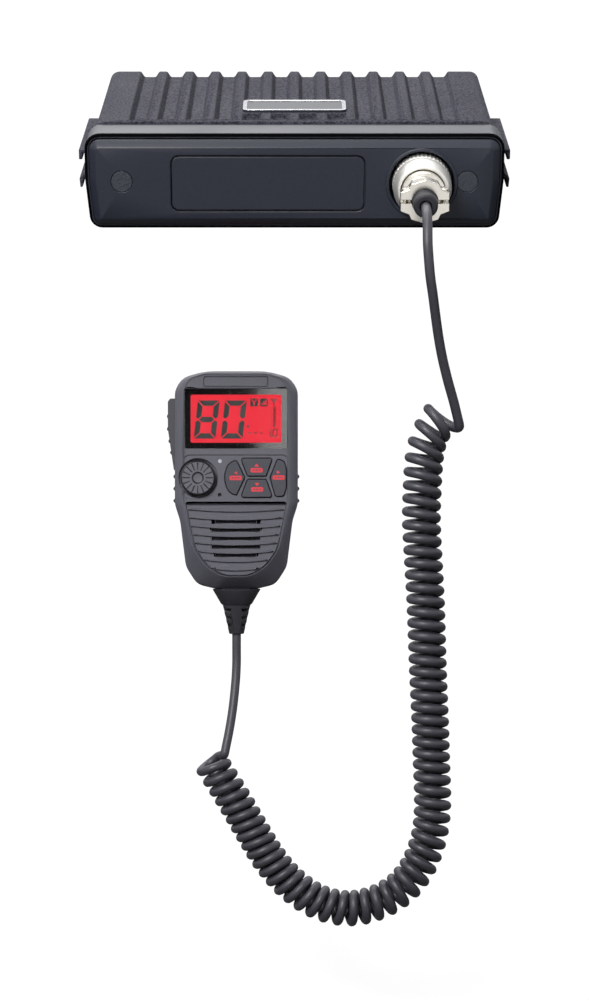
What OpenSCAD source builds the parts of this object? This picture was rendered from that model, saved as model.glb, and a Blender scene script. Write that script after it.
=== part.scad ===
// Two-way radio for a vehicle: a radio unit on side rails, a curly cord and a handset hung below it.
// Radio pieces are drawn with y = 0 on the rim of the front panel and z = 0 on the underside.
// Handset pieces are drawn with y = 0 on its face, z up its length and x across it.

/* [Front panel] */
// Greatest width of the front panel
fascia_w = 152; // [149:0.5:160]
// Width of the front panel along its foot
fascia_foot_w = 148.5; // [143:0.5:149.5]
// Height of the front panel
fascia_h = 35; // [34:0.5:38]
// Depth of the front panel's skirt
fascia_depth = 17.5; // [16:0.5:21]
// Thickness of the front panel's moulding
fascia_wall = 2.4; // [1.8:0.1:2.8]
// How far the flat face stands in front of the rim
face_rise = 2.6; // [1.8:0.1:3.4]
// Width of the bevel between the rim and the face
bevel_w = 2.1; // [1.8:0.1:3.4]
// Width of the rounded rim
rim_w = 2; // [1.2:0.1:2.8]
// Height at which the sides begin to taper
waist_z = 18; // [15:0.5:21]
// Distance of the panel screws from the ends of the panel
fascia_screw_in = 13.5; // [12:0.5:16]
// Radius of the textured discs that cover the panel screws
cap_r = 3.8; // [3.6:0.1:4.6]
// Width of the engraved panel outline
panel_w = 70.5; // [50:0.5:76]
// Height of the engraved panel outline
panel_h = 20.7; // [14:0.1:23]
// Place of the engraved panel across the face
panel_x = -9.6; // [-14:0.2:-6]
// Width of the engraved line
engrave_w = 0.6; // [0.3:0.1:1]
// Depth of the engraved line
engrave_t = 0.4; // [0.2:0.1:0.8]

/* [Case] */
// Width of the chassis and lid
case_w = 146; // [143:0.5:148]
// Depth from the panel rim to the rear of the case
radio_depth = 110; // [106:1:125]
// Wall thickness of the castings
case_wall = 2.5; // [2:0.1:3]
// Height of the lid
lid_h = 9; // [8:0.5:9]
// How far the lid stands above the front panel
lid_rise = 1; // [0.5:0.1:2]
// Radius along the lid's long edges
lid_edge_r = 3.6; // [2:0.1:4.4]
// Distance between ribs
rib_pitch = 10.4; // [9:0.1:11]
// Number of ribs between the flat end bands
rib_count = 11; // [7:2:11]
// Width of a rib's flat top
rib_top_w = 3.2; // [2.4:0.1:4]
// Width of the floor between two ribs
rib_floor_w = 4.4; // [3:0.1:5]
// Height of the ribs
rib_h = 2.2; // [1.4:0.1:2.6]
// Land between the panel and the front end of the grooves
rib_land = 3; // [1:0.5:5]
// Length of the slope that closes each groove at the front
rib_slope = 5.5; // [2:0.5:8]

/* [Side rails] */
// Length of the hooked side rails
rail_len = 54; // [40:1:70]
// Gap between the panel's skirt and the rails
rail_setback = 1.5; // [0.5:0.5:4]
// Thickness of the plate that carries the hooks
rail_plate = 3.6; // [2.6:0.1:4.5]
// Width of the channel behind each hook
rail_gap = 1.5; // [1.2:0.1:2]
// Thickness of the hooks
rail_lip = 1.3; // [1:0.1:1.8]
// Height of the top of the upper hook
rail_top_z = 25.2; // [24:0.2:26]

/* [Badge] */
// Width of the badge on the lid
badge_w = 38.5; // [30:0.5:46]
// Depth of the badge on the lid
badge_d = 18; // [12:0.5:24]
// Thickness of the badge
badge_t = 1; // [0.6:0.1:1.6]
// Distance from the panel rim to the middle of the badge
badge_y = 42; // [38:0.5:60]
// Width of the badge's raised border
badge_rim = 1.5; // [0.8:0.1:2.5]

/* [Electronics] */
// Thickness of the main board
board_t = 1.6; // [1:0.1:2]
// Height of the standoffs under the main board
standoff_h = 4.5; // [3:0.5:6]
// Radius of the board screws
board_screw_r = 1.25; // [1:0.05:1.5]
// Radius of the case screws
case_screw_r = 1.5; // [1.2:0.05:1.8]
// Height of the shield can
shield_h = 9; // [6:0.5:12]

/* [Rear connectors] */
// Radius of the aerial socket's threaded barrel
aerial_r = 7.9; // [7:0.1:8]
// Length of the aerial socket's threaded barrel
aerial_len = 12; // [9:0.5:16]
// Width of the supply inlet's mouth
inlet_w = 16; // [14:0.5:18]
// Height of the supply inlet's mouth
inlet_h = 8; // [6.5:0.5:9]
// Depth of the supply inlet's mouth
inlet_d = 9; // [6:0.5:10]
// Radius of the loudspeaker jack's bore
jack_r = 1.8; // [1.7:0.05:1.9]

/* [Handset connector] */
// Distance of the connector from the right-hand end of the panel
socket_in = 30; // [29:0.5:32]
// Radius of the well round the connector
well_r = 11.8; // [11.4:0.1:12.2]
// Depth of the well from the panel rim
well_depth = 8; // [7:0.5:9]
// Radius of the socket's threaded tube
socket_r = 7.9; // [7.5:0.1:8]
// Wall of the socket's threaded tube
socket_wall = 0.8; // [0.6:0.1:1]
// Number of contacts round the middle one
contact_count = 7; // [4:1:8]
// Radius of the coupling ring
ring_r = 10.7; // [10.4:0.1:11]
// Number of knurls round the coupling ring
knurl_count = 44; // [24:2:60]
// Length of the coupling ring in front of the panel rim
ring_len = 15; // [14:0.5:17]
// Distance from the panel rim to the tip of the plug's rubber sleeve
plug_len = 37; // [36:0.5:42]
// Radius of the plug's rubber sleeve
grommet_r = 4.5; // [4:0.1:4.8]

/* [Cord] */
// Diameter of the cord
cord_d = 3.5; // [3:0.1:3.6]
// Outer diameter of the curls
curl_od = 14.2; // [12:0.1:15]
// Number of whole curls
curl_count = 61; // [40:1:62]

/* [Handset] */
// Width of the handset
handset_w = 48.7; // [47.5:0.1:54]
// Width of the handset near its foot
hip_w = 40; // [38.5:0.1:43]
// Height of the crown above the middle of the face
crown_z = 43.1; // [42.6:0.1:47]
// Distance of the foot below the middle of the face
foot_z = 43; // [42:0.1:46]
// Depth of the handset from face to back
handset_d = 25.5; // [24.5:0.1:30]
// Depth of the joint between the two covers
split_y = 8; // [7.8:0.1:9]
// Thickness of the covers
cover_wall = 2; // [1.7:0.1:2.2]
// Width of the rounded edge beside the face
face_edge = 3.6; // [3.2:0.1:3.8]
// Width of the rounded edge above the face
crown_edge = 1.2; // [1:0.1:1.6]
// Width of the slope below the face
chin_edge = 4.9; // [3.6:0.1:5.2]
// Lean of the hanging handset
handset_tilt = 20; // [0:1:30]
// Depth of the recess round the keys
panel_sink = 0.5; // [0.3:0.1:0.7]

/* [Display] */
// Width of the display window
window_w = 40.2; // [37:0.1:40.4]
// Height of the display window
window_h = 23.5; // [21:0.1:24]
// Thickness of the display window
window_t = 1.2; // [0.8:0.1:1.4]
// Height of the middle of the display
window_z = 24.15; // [23.6:0.05:25]
// Width of the lit display
lcd_w = 35.7; // [30:0.1:36]
// Height of the lit display
lcd_h = 18.9; // [15:0.1:19.2]

/* [Keys and knob] */
// Radius of the knob
knob_r = 6.9; // [6:0.1:7.1]
// How far the knob stands out of the face
knob_rise = 2.6; // [1.5:0.1:4]
// Gap round the knob
knob_gap = 0.8; // [0.5:0.1:0.9]
// Number of grooves on the knob's face
knob_groove_count = 16; // [8:1:20]
// Travel of the knob when it is pushed
knob_travel = 0.5; // [0.3:0.05:0.6]
// Travel of the keys
key_travel = 0.6; // [0.3:0.05:0.7]
// How far the keys stand out of the face
key_rise = 0.55; // [0.3:0.05:1]

/* [Talk button] */
// Height of the talk button's upper end
ptt_top_z = 32.4; // [30:0.1:33]
// Height of the talk button's lower end
ptt_foot_z = 4; // [3.8:0.1:5]
// How far the talk button stands out at its upper end
ptt_rise = 2.8; // [2:0.1:4]
// Width of the talk button across the handset's depth
ptt_w = 9.2; // [7:0.1:9.4]
// Radius of the talk button's hinge pin
ptt_pin_r = 1; // [0.8:0.05:1.1]

/* [Loudspeaker] */
// Radius of the loudspeaker
speaker_r = 13.5; // [12:0.1:13.8]
// Height of the loudspeaker's middle
speaker_z = -23; // [-23.5:0.1:-22.5]
// Number of leaf-shaped louvres in the grille
louvre_count = 8; // [6:1:8]
// Distance between louvres
louvre_pitch = 3.3; // [3:0.1:3.4]
// Greatest height of a louvre
louvre_h = 2.1; // [1.6:0.1:2.3]
// Depth of the grille's recess
grille_sink = 0.9; // [0.6:0.1:1]
// Width of the longest sound slot
slot_w = 19; // [14:0.5:20]
// Height of a sound slot
slot_h = 1.1; // [0.8:0.1:1.2]

/* [Fits] */
// Clearance of a fixed piece in its seat
seat_gap = 0.05; // [0.02:0.01:0.1]
// Clearance of a turning or sliding shaft
run_gap = 0.05; // [0.02:0.01:0.09]
// Clearance round a moving button or ring
move_gap = 0.3; // [0.25:0.05:0.4]

/* [Hidden] */
$fn = 48;
// Overlap that lets a cut run past a face
cut = 1;

// The origin lies between the side rails, halfway along them and at half the panel's height
origin_y = fascia_depth + rail_setback + rail_len / 2;
origin_z = fascia_h / 2;
chassis_h = fascia_h + lid_rise - lid_h;
lid_top = fascia_h + lid_rise;
rear_wall_y = radio_depth - case_wall;
cord_r = cord_d / 2;

// Side and foot of the case
case_shoulder_z = 12;
case_foot_in = 4.5;
case_foot_z = 2.5;
case_side_in = 2;

// Front flange of the chassis, which carries the panel
flange_t = 2.5;
flange_y = fascia_depth - flange_t;
boss_r = 5;
rim_line_w = 0.8;
rim_line_t = 1.3;
boss_len = 9;
screw_head_r = 3;
screw_head_h = 2.4;
screw_seat_y = 4;
cap_sink = 1.2;
cap_fit = 0.1;
fascia_screw_x = fascia_w / 2 - fascia_screw_in;
fascia_screw_z = fascia_h / 2 + 0.7;
fascia_screws_at = [[-fascia_screw_x, fascia_screw_z], [fascia_screw_x, fascia_screw_z]];
window_margin = 2;

// Lid screws run up through columns in the chassis
column_r = 4;
column_x = case_w / 2 - 9;
column_front_y = fascia_depth + 14.5;
column_rear_y = radio_depth - 12;
columns_at = [for (x = [-column_x, column_x], y = [column_front_y, column_rear_y]) [x, y]];
lid_screw_sink = 2.2;
lid_ceiling = lid_top - rib_h - case_wall;

// Main board on its standoffs
board_z = case_wall + standoff_h;
board_top = board_z + board_t;
board_w = 2 * (column_x - column_r - 2);
board_y0 = flange_y + 11;
board_y1 = rear_wall_y - 8;
board_edge = 6;
standoff_r = 3;
standoffs_at = [for (x = [-1, 1], y = [board_y0 + board_edge, board_y1 - board_edge])
  [x * (board_w / 2 - board_edge), y]];
board_head_r = 2.4;
board_head_h = 1.6;

// Pieces on the main board
module_w = 32;
module_ears = 10;
module_d = 12;
module_h = 6;
module_base = 2.2;
module_x = -20;
module_in = 10;
shield_w = 50;
shield_d = 34;
shield_x = -24;
shield_in = 24;
tin = 0.6;
vent_r = 1.6;
vent_pitch = 9;
big_can_r = 5;
big_can_h = 13;
small_can_r = 4;
small_can_h = 10;
cans_x = 20;
cans_in = 34;
can_pitch = 13;

// Rear connectors
rear_z = chassis_h / 2 + 1;
aerial_in = 28;
aerial_x = aerial_in - case_w / 2;
aerial_flange = 25;
aerial_flange_t = 2;
aerial_hole_pitch = 18.2;
aerial_screw_r = 1.3;
aerial_tail_r = 6;
aerial_tail = 6;
aerial_back = case_wall + aerial_tail;
aerial_core_r = 3.5;
aerial_bore_r = aerial_r - 1.2;
inlet_in = 41;
inlet_x = case_w / 2 - inlet_in;
inlet_wall = 2;
inlet_flange = 2;
inlet_outer = [inlet_w + 2 * inlet_wall, inlet_h + 2 * inlet_wall];
inlet_back = radio_depth - inlet_d - inlet_wall + inlet_flange;
blade_t = 1;
blade_w = 4;
blade_in = 1.2;
jack_x = 0;
jack_collar_r = 3;
jack_collar = 2.5;
jack_body = 9;

// Handset connector, measured forward from the panel rim
socket_x = fascia_w / 2 - socket_in;
socket_bore_r = socket_r - socket_wall;
socket_flange_r = 9.6;
socket_flange_t = 1.5;
socket_front = 2;
socket_tail = 8;
well_floor_t = 2;
well_wall = 1.6;
nut_flats = 19;
nut_t = 3;
contact_r = 0.6;
contact_ring_r = 4.4;
insert_back = well_depth + 4;
insert_front = well_depth - 4;
plug_face = insert_front - 0.4;
plug_wall = 1;
ring_back = well_depth - socket_flange_t - 2;
ring_lip = 2;
ring_rear_r = 9.2;
shoulder_w = 3;
shoulder_r = 9.2;
shoulder_end = ring_len - ring_lip - 0.5;
barrel_r = socket_r;
barrel_end = ring_len + 5;
neck_r = 6.2;
neck_end = barrel_end + 4;
saddle_end = plug_len - 7;
saddle_gap = 0.6;
clamp_screw_x = 6.7;
clamp_screw_r = 0.9;
clamp_head_r = 1.6;
clamp_ear_x = 8.6;
clamp_ear_z = 3.4;
grommet_seat_r = grommet_r + seat_gap;
grommet_back = barrel_end - 3;
socket_sink = 2;
socket_fit = 0.4;

// Route of the cord from the plug to the first curl
radio_lead = [
  [46, -81, 0], [46, -85, 0], [46, -89, 0], [46, -93.5, -1], [46, -97.5, -4], [46, -100.5, -8.5],
  [46.4, -102, -14], [47, -102.5, -20], [48, -102, -26.5], [49, -101, -33.5], [50.2, -100, -41.5],
  [51.8, -99, -50], [54, -98, -59], [56.2, -97, -66.5], [57.5, -96.5, -71]];
// Line along the middle of the curls, from the radio's end to the handset's end
curl_line = [
  [51, -95, -75], [48.2, -95, -80.2], [46.9, -95, -85], [46.2, -95, -90], [45.8, -94.5, -100],
  [45.7, -94, -113], [46.7, -93, -129], [47.8, -92, -145], [48.6, -91, -161], [49.4, -90, -177],
  [50.4, -89, -194], [51.2, -88, -211], [52, -87, -228], [51.6, -85, -240.5], [49.7, -83, -251],
  [46.2, -80, -261.5], [40.3, -77, -271], [31.2, -73, -279], [20.4, -68, -283.9], [9, -63, -283.6],
  [-1.6, -58, -278.2], [-9.8, -54, -269.7], [-15.8, -50, -261], [-21.4, -46, -252.3], [-26.6, -42, -244.7],
  [-30.8, -39, -238.8]];
// Route of the cord from the last curl up to the handset
mic_lead = [
  [-27.2, -36, -231], [-26, -32.4, -226], [-25, -28.7, -221], [-24.2, -25.2, -216], [-23.6, -21.8, -211],
  [-23.2, -19, -206.5], [-23, -16.6, -202], [-23, -14.9, -198], [-23, -13.3, -193.57], [-23, -11.8, -189.44]];
// The first curls stand further apart, by this much in all
curl_slack = 2;
curl_r = (curl_od - cord_d) / 2;
// Turn at which the curls begin and end, counted from the side, to the back
curl_start = 40;
curl_finish = 110;
rings_per_curl = 8;
curl_sides = 6;
lead_sides = 8;

// Handset outline, from the crown down one side
crown_w = 26;
shoulder_in = 2.85;
shoulder_drop = 2.7;
cheek_drop = 7.6;
hip_top_z = -9.5;
hip_in = 2.1;
hip_z = -16;
foot_side_rise = 8.8;
foot_corner_in = 4.5;
foot_corner_z = 1.8;
foot_w = 16;
handset_half = [
  [crown_w / 2, crown_z], [handset_w / 2 - shoulder_in, crown_z - shoulder_drop],
  [handset_w / 2, crown_z - cheek_drop], [handset_w / 2, hip_top_z], [handset_w / 2 - hip_in, hip_z],
  [hip_w / 2, foot_side_rise - foot_z], [hip_w / 2 - foot_corner_in, foot_corner_z - foot_z],
  [foot_w / 2, -foot_z]];
handset_radii = [30, 7, 7, 10, 16, 9, 6, 9];
// The flat face inside it, which narrows to a shield round the grille
face_half = [
  [crown_w / 2, crown_z - crown_edge], [handset_w / 2 - face_edge - 1.9, crown_z - crown_edge - 2.2],
  [handset_w / 2 - face_edge, crown_z - crown_edge - 6.6], [handset_w / 2 - face_edge, hip_top_z + 0.5],
  [handset_w / 2 - face_edge - 1.3, hip_z + 0.6], [16.9, chin_edge + 11 - foot_z],
  [11.8, chin_edge + 3.8 - foot_z], [5, chin_edge - foot_z]];
face_radii = [18, 5, 5, 10, 24, 14, 13, 11];
function both_sides(half) = concat(
  [for (p = half) [-p[0], p[1]]], [for (i = [len(half) - 1:-1:0]) half[i]]);
function both_radii(half) = concat(half, [for (i = [len(half) - 1:-1:0]) half[i]]);
handset_corners = both_sides(handset_half);
handset_corner_r = both_radii(handset_radii);
corner_steps = 3;

// Boot that carries the cord out of the handset
boot_y = split_y + 4;
boot_neck = 5.8;
boot_tail = 12;
boot_root = [5.6, 4.6];
boot_top = [9.6, 6.8];
boot_waist = [6.2, 5];
boot_tail_top = [5.5, 4.5];
boot_tip = 2.9;
boot_gap = 0.1;
boot_sink = 2;
boot_flange = 1.6;
boot_tip_z = -foot_z - boot_gap - boot_neck - boot_tail;
notch_count = 3;
notch_h = 1.1;
notch_pitch = 3;
notch_x = 2.2;
cord_top = mic_lead[len(mic_lead) - 1];

// Inner pieces of the handset, by their depth behind the face
board2_y = split_y - 2;
board2_t = 1.2;
board2_foot = speaker_z + speaker_r + 1;
display_y = cover_wall + seat_gap;
display_t = 2.4;
display_rim = 1;
post_r = 3.4;
pilot_r = 2.4;
spigot_r = 1.9;
cover_screw_r = 0.9;
cover_head_r = 2;
cover_seat_y = handset_d - 5.5;
cover_screws_at = [[-18.2, 10.9], [18.2, 10.9], [-14.5, -33], [14.5, -33]];
seal_in = 0.6;
seal_w = 0.8;
seal_t = 1.1;

// Knob and its encoder
knob_at = [-14.9, 0.86];
well2_r = knob_r + knob_gap;
well2_wall = 0.8;
well2_y = cover_wall + 1;
well2_t = board2_y - 2.2 - well2_y;
encoder_y = well2_y + well2_t;
encoder_w = 12;
rotor_r = 4;
shaft_r = 2.5;
shaft_hole_r = 3.2;

// Keys, as corners from the middle of the face
key_corner_r = 0.8;
key_top_corners = [[1.96, 8.55], [4.6, 1.65], [11.8, 1.65], [14.3, 8.55]];
key_bottom_corners = [[4.6, 0.25], [1.96, -6.7], [14.3, -6.7], [11.8, 0.25]];
key_left_corners = [[0.1, 7.8], [-3.1, 6.3], [-4.65, 1.1], [-3.1, -4.4], [0.1, -6], [3.4, 1.1]];
key_right_corners = [
  [16.4, 8.3], [13.5, 1], [15.6, -6.4], [18.7, -6.2], [19.75, -3], [19.75, 4.4], [18.9, 7.3]];
key_end_r = 1.2;
key_forms = [
  [key_left_corners, [key_corner_r, 4.2, 7, 4.2, key_corner_r, key_corner_r]],
  [key_top_corners, same(key_corner_r, 4)], [key_bottom_corners, same(key_corner_r, 4)],
  [key_right_corners, [key_corner_r, key_corner_r, key_corner_r, key_end_r, 5, 5, key_end_r]]];
key_lip = 0.5;
key_hole_gap = 0.25;
key_back = cover_wall + move_gap + 1.1;
mat_t = 1;
dome_r = 2.2;
key_domes_at = [[-0.8, 0.9], [8.1, 5.2], [8.1, -3.2], [16.8, 1]];
key_panel = block_corners(-20.3, 20.3, -7.4, 9.9);

// Talk button and its hinge
ptt_y0 = split_y + 0.4;
ptt_hinge = [-20.6, 3.6];
ptt_inner_x = -handset_w / 2 + 1.75;
ear_w = 5.6;
ear_y = ptt_y0 + (ptt_w - ear_w) / 2;
ear_h = 3.6;
plate_t = 1;
plate_gap = 0.4;
bracket_x = -16.6;
bracket_out = ptt_hinge[0] - 1.4;
bracket_h = 5.6;
switch_z = 24;
switch_x = -18.5;
plunger = 1.1;
post_gap = 1.3;
grip_count = 3;
grip_r = 0.8;
grip_pitch = 4.8;
grip_z = 1.5;
ptt_grips = [[0, 25.3], [0, 20.3], [0.6, 15.5], [1.25, 11]];
light_pipe_at = [-6.3, 7.5];
light_pipe_r = 0.75;
mic_at = [-6.4, -5.8];
mic_r = 2;
mic_hole_r = 0.7;
hang_z = 16;
hang_r = 6.6;
hang_neck_r = 4.2;
hang_neck = 3.5;
hang_head = 2;

function unit(v) = v / norm(v);

// Moves every side of an outline inwards; the corners run anticlockwise
function inset(p, d) = [
  for (i = [0:len(p) - 1])
    let (n = len(p), a = p[(i + n - 1) % n], b = p[i], c = p[(i + 1) % n])
    let (u = unit(b - a), v = unit(c - b), m = [-u[1], u[0]], k = [-v[1], v[0]])
    b + d * (m + k) / (1 + m * k)];

// Rounds each corner of an outline with its own radius
function rounded(p, radii, steps) = [
  for (i = [0:len(p) - 1])
    let (n = len(p), b = p[i], u = unit(p[(i + n - 1) % n] - b), v = unit(p[(i + 1) % n] - b))
    let (half = acos(u * v) / 2, r = radii[i], c = b + unit(u + v) * r / sin(half))
    let (s = b + u * r / tan(half) - c, e = b + v * r / tan(half) - c)
    let (a0 = atan2(s[1], s[0]), turn = atan2(e[1], e[0]) - a0)
    let (sweep = turn > 180 ? turn - 360 : turn < -180 ? turn + 360 : turn)
    for (k = [0:steps])
      c + r * [cos(a0 + sweep * k / steps), sin(a0 + sweep * k / steps)]];

function block_corners(x0, x1, z0, z1) = [[x0, z1], [x0, z0], [x1, z0], [x1, z1]];
function same(r, count) = [for (i = [1:count]) r];
function smaller(radii, d) = [for (r = radii) max(0.5, r - d)];

function fascia_corners() = [
  [-fascia_w / 2, fascia_h], [-fascia_w / 2, waist_z], [-fascia_foot_w / 2, 0],
  [fascia_foot_w / 2, 0], [fascia_w / 2, waist_z], [fascia_w / 2, fascia_h]];
fascia_radii = [5.6, 30, 4.6, 4.6, 30, 5.6];
function fascia_outline(d) = rounded(inset(fascia_corners(), d), smaller(fascia_radii, d), 6);
function handset_outline(d) =
  rounded(inset(handset_corners, d), smaller(handset_corner_r, d), corner_steps);
// Outline part of the way from the face, at 0, to the greatest width, at 1
function cover_outline(share, d) = rounded(
  inset(both_sides(share * handset_half + (1 - share) * face_half), d),
  smaller(both_radii(share * handset_radii + (1 - share) * face_radii), d), corner_steps);
function ring_at(y, outline) = [for (p = outline) [p[0], y, p[1]]];

// A solid through outlines of equally many points, from the front one to the rear one
module loft(rings) {
  n = len(rings[0]);
  count = len(rings);
  points = [for (ring = rings) each ring];
  sides = [
    for (i = [0:count - 2], j = [0:n - 1], half = [0, 1])
      let (a = i * n + j, b = i * n + (j + 1) % n)
      half == 0 ? [a, b, b + n] : [a, b + n, a + n]];
  front = [for (j = [n - 1:-1:0]) j];
  back = [for (j = [0:n - 1]) (count - 1) * n + j];
  polyhedron(points, concat([front], sides, [back]), convexity = 10);
}

// Draws an outline in x and z, from one depth to another
module along_y(y0, y1) {
  translate([0, y1, 0]) rotate([90, 0, 0]) linear_extrude(y1 - y0, convexity = 10) children();
}

// Draws an outline in y and z, from one side to another
module across_x(x0, x1) {
  translate([x0, 0, 0]) rotate([90, 0, 90]) linear_extrude(x1 - x0, convexity = 10) children();
}

// A round bar along the depth
module bar(at, r, y0, y1) {
  translate([at[0], y1, at[1]]) rotate([90, 0, 0]) cylinder(r = r, h = y1 - y0);
}

module in_radio() {
  translate([0, -origin_y, -origin_z]) children();
}

// Forward along the connector: x across, y up and z out of the panel
module on_socket_axis() {
  in_radio() translate([socket_x, 0, fascia_h / 2]) rotate([90, 0, 0]) children();
}

// The handset hangs from the top end of the cord, which stands on the floor of the boot's bore
module in_handset() {
  translate(cord_top) rotate([-handset_tilt, 0, 0])
    translate([0, -boot_y, -boot_tip_z - boot_sink]) children();
}

module block(lo, hi) {
  translate(lo) cube(hi - lo);
}

// Lower case: a cast tray with hooked rails, a front flange, screw columns and standoffs
module case_profile(d) {
  w = case_w / 2;
  polygon(inset([
    [-w, chassis_h + d], [-w, case_shoulder_z], [-w + case_side_in, case_foot_z], [-w + case_foot_in, 0],
    [w - case_foot_in, 0], [w - case_side_in, case_foot_z], [w, case_shoulder_z],
    [w, chassis_h + d]], d));
}

// Two downward hooks on a plate, for a cradle's tongues
module rail_profile() {
  root = case_w / 2 - 0.5;
  plate = case_w / 2 + rail_plate;
  lip = plate + rail_gap;
  tip = lip + rail_lip;
  low = rail_top_z - 14.4;
  polygon([
    [root, rail_top_z], [tip, rail_top_z], [tip, rail_top_z - 3.8], [lip, rail_top_z - 3.8],
    [lip, rail_top_z - 1.6], [plate, rail_top_z - 1.6], [plate, low + 6.4], [tip, low + 3.6],
    [tip - 0.3, low], [lip, low + 0.4], [lip, low + 3], [plate, low + 4.2], [plate, low - 1],
    [root, low - rail_plate]]);
}

module chassis() {
  rails_y = fascia_depth + rail_setback;
  window_x = fascia_screw_x - boss_r - window_margin;
  window = block_corners(-window_x, window_x, case_wall + window_margin, chassis_h);
  color("#4a4a50") in_radio() difference() {
    union() {
      difference() {
        along_y(fascia_depth, radio_depth) case_profile(0);
        along_y(fascia_depth + flange_t, rear_wall_y) case_profile(case_wall);
        along_y(flange_y, fascia_depth + flange_t + cut) polygon(window);
      }
      along_y(flange_y, fascia_depth) difference() {
        polygon(fascia_outline(fascia_wall + 2 * seat_gap));
        polygon(window);
      }
      for (at = fascia_screws_at) bar(at, boss_r, flange_y, flange_y + boss_len);
      for (side = [0, 1]) mirror([side, 0, 0]) along_y(rails_y, rails_y + rail_len) rail_profile();
      for (at = columns_at) translate(at) cylinder(r = column_r, h = chassis_h);
      for (at = standoffs_at) translate(at) cylinder(r = standoff_r, h = board_z);
    }
    for (at = fascia_screws_at) {
      bar(at, case_screw_r + seat_gap, flange_y - cut, flange_y + boss_len + cut);
    }
    for (at = columns_at) translate(at) {
      translate([0, 0, -cut]) cylinder(r = case_screw_r + seat_gap, h = chassis_h + 2 * cut);
      translate([0, 0, -cut]) cylinder(r = screw_head_r + seat_gap, h = lid_screw_sink + cut);
    }
    for (at = standoffs_at) translate([at[0], at[1], case_wall]) {
      cylinder(r = board_screw_r + seat_gap, h = standoff_h + cut);
    }
    bar([aerial_x, rear_z], aerial_tail_r + seat_gap, rear_wall_y - cut, radio_depth + cut);
    for (x = [-1, 1], z = [-1, 1]) {
      bar([aerial_x + x * aerial_hole_pitch / 2, rear_z + z * aerial_hole_pitch / 2],
        aerial_screw_r + seat_gap, rear_wall_y - cut, radio_depth + cut);
    }
    bar([jack_x, rear_z], jack_collar_r + seat_gap, rear_wall_y - cut, radio_depth + cut);
    along_y(rear_wall_y - cut, radio_depth + cut) translate([inlet_x, rear_z]) {
      square(inlet_outer + 2 * [seat_gap, seat_gap], center = true);
    }
  }
}

// Lid: a cast cover whose ribs run front to back, with a pad that fills the grooves under the badge
module lid_profile() {
  w = case_w / 2;
  polygon(rounded([[-w, lid_top], [-w, chassis_h], [w, chassis_h], [w, lid_top]],
    [lid_edge_r, 0.01, 0.01, lid_edge_r], 6));
}

module rib_grooves() {
  half_top = (rib_pitch - rib_top_w) / 2;
  for (i = [0:rib_count]) translate([(i - rib_count / 2) * rib_pitch, lid_top]) {
    polygon([[-half_top, cut], [-half_top, 0], [-rib_floor_w / 2, -rib_h], [rib_floor_w / 2, -rib_h],
      [half_top, 0], [half_top, cut]]);
  }
}

module heatsink_lid() {
  groove_y = fascia_depth + rib_land;
  pad_w = badge_w + 1.6;
  pad_d = badge_d + 3;
  color("#4a4a50") in_radio() difference() {
    union() {
      difference() {
        along_y(fascia_depth, radio_depth) lid_profile();
        intersection() {
          along_y(fascia_depth, radio_depth + cut) rib_grooves();
          across_x(-case_w, case_w) polygon([
            [groove_y, lid_top], [groove_y + rib_slope, lid_top - rib_h],
            [groove_y + rib_slope, lid_top - rib_h - cut],
            [radio_depth + cut, lid_top - rib_h - cut], [radio_depth + cut, lid_top + cut],
            [groove_y, lid_top + cut]]);
        }
        block([-case_w / 2 + case_wall, fascia_depth - cut, chassis_h - cut],
          [case_w / 2 - case_wall, rear_wall_y, lid_ceiling]);
      }
      block([-pad_w / 2, badge_y - pad_d / 2, lid_ceiling], [pad_w / 2, badge_y + pad_d / 2, lid_top]);
      for (at = columns_at) translate([at[0], at[1], chassis_h]) {
        cylinder(r = column_r, h = lid_ceiling - chassis_h + 0.5);
      }
    }
    for (at = columns_at) translate([at[0], at[1], chassis_h - cut]) {
      cylinder(r = case_screw_r + seat_gap, h = lid_ceiling - chassis_h + cut);
    }
  }
}

// A pan-head screw standing on its tip, head downwards
module screw(r, len, head_r, head_h) {
  cylinder(r = r, h = len);
  translate([0, 0, -head_h]) cylinder(r = head_r, h = head_h);
}

module lid_screws() {
  head_h = lid_screw_sink - 0.4;
  color("#6d6f73") in_radio() for (at = columns_at) translate([at[0], at[1], lid_screw_sink]) {
    screw(case_screw_r, lid_ceiling - lid_screw_sink - 0.5, screw_head_r, head_h);
  }
}

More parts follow.
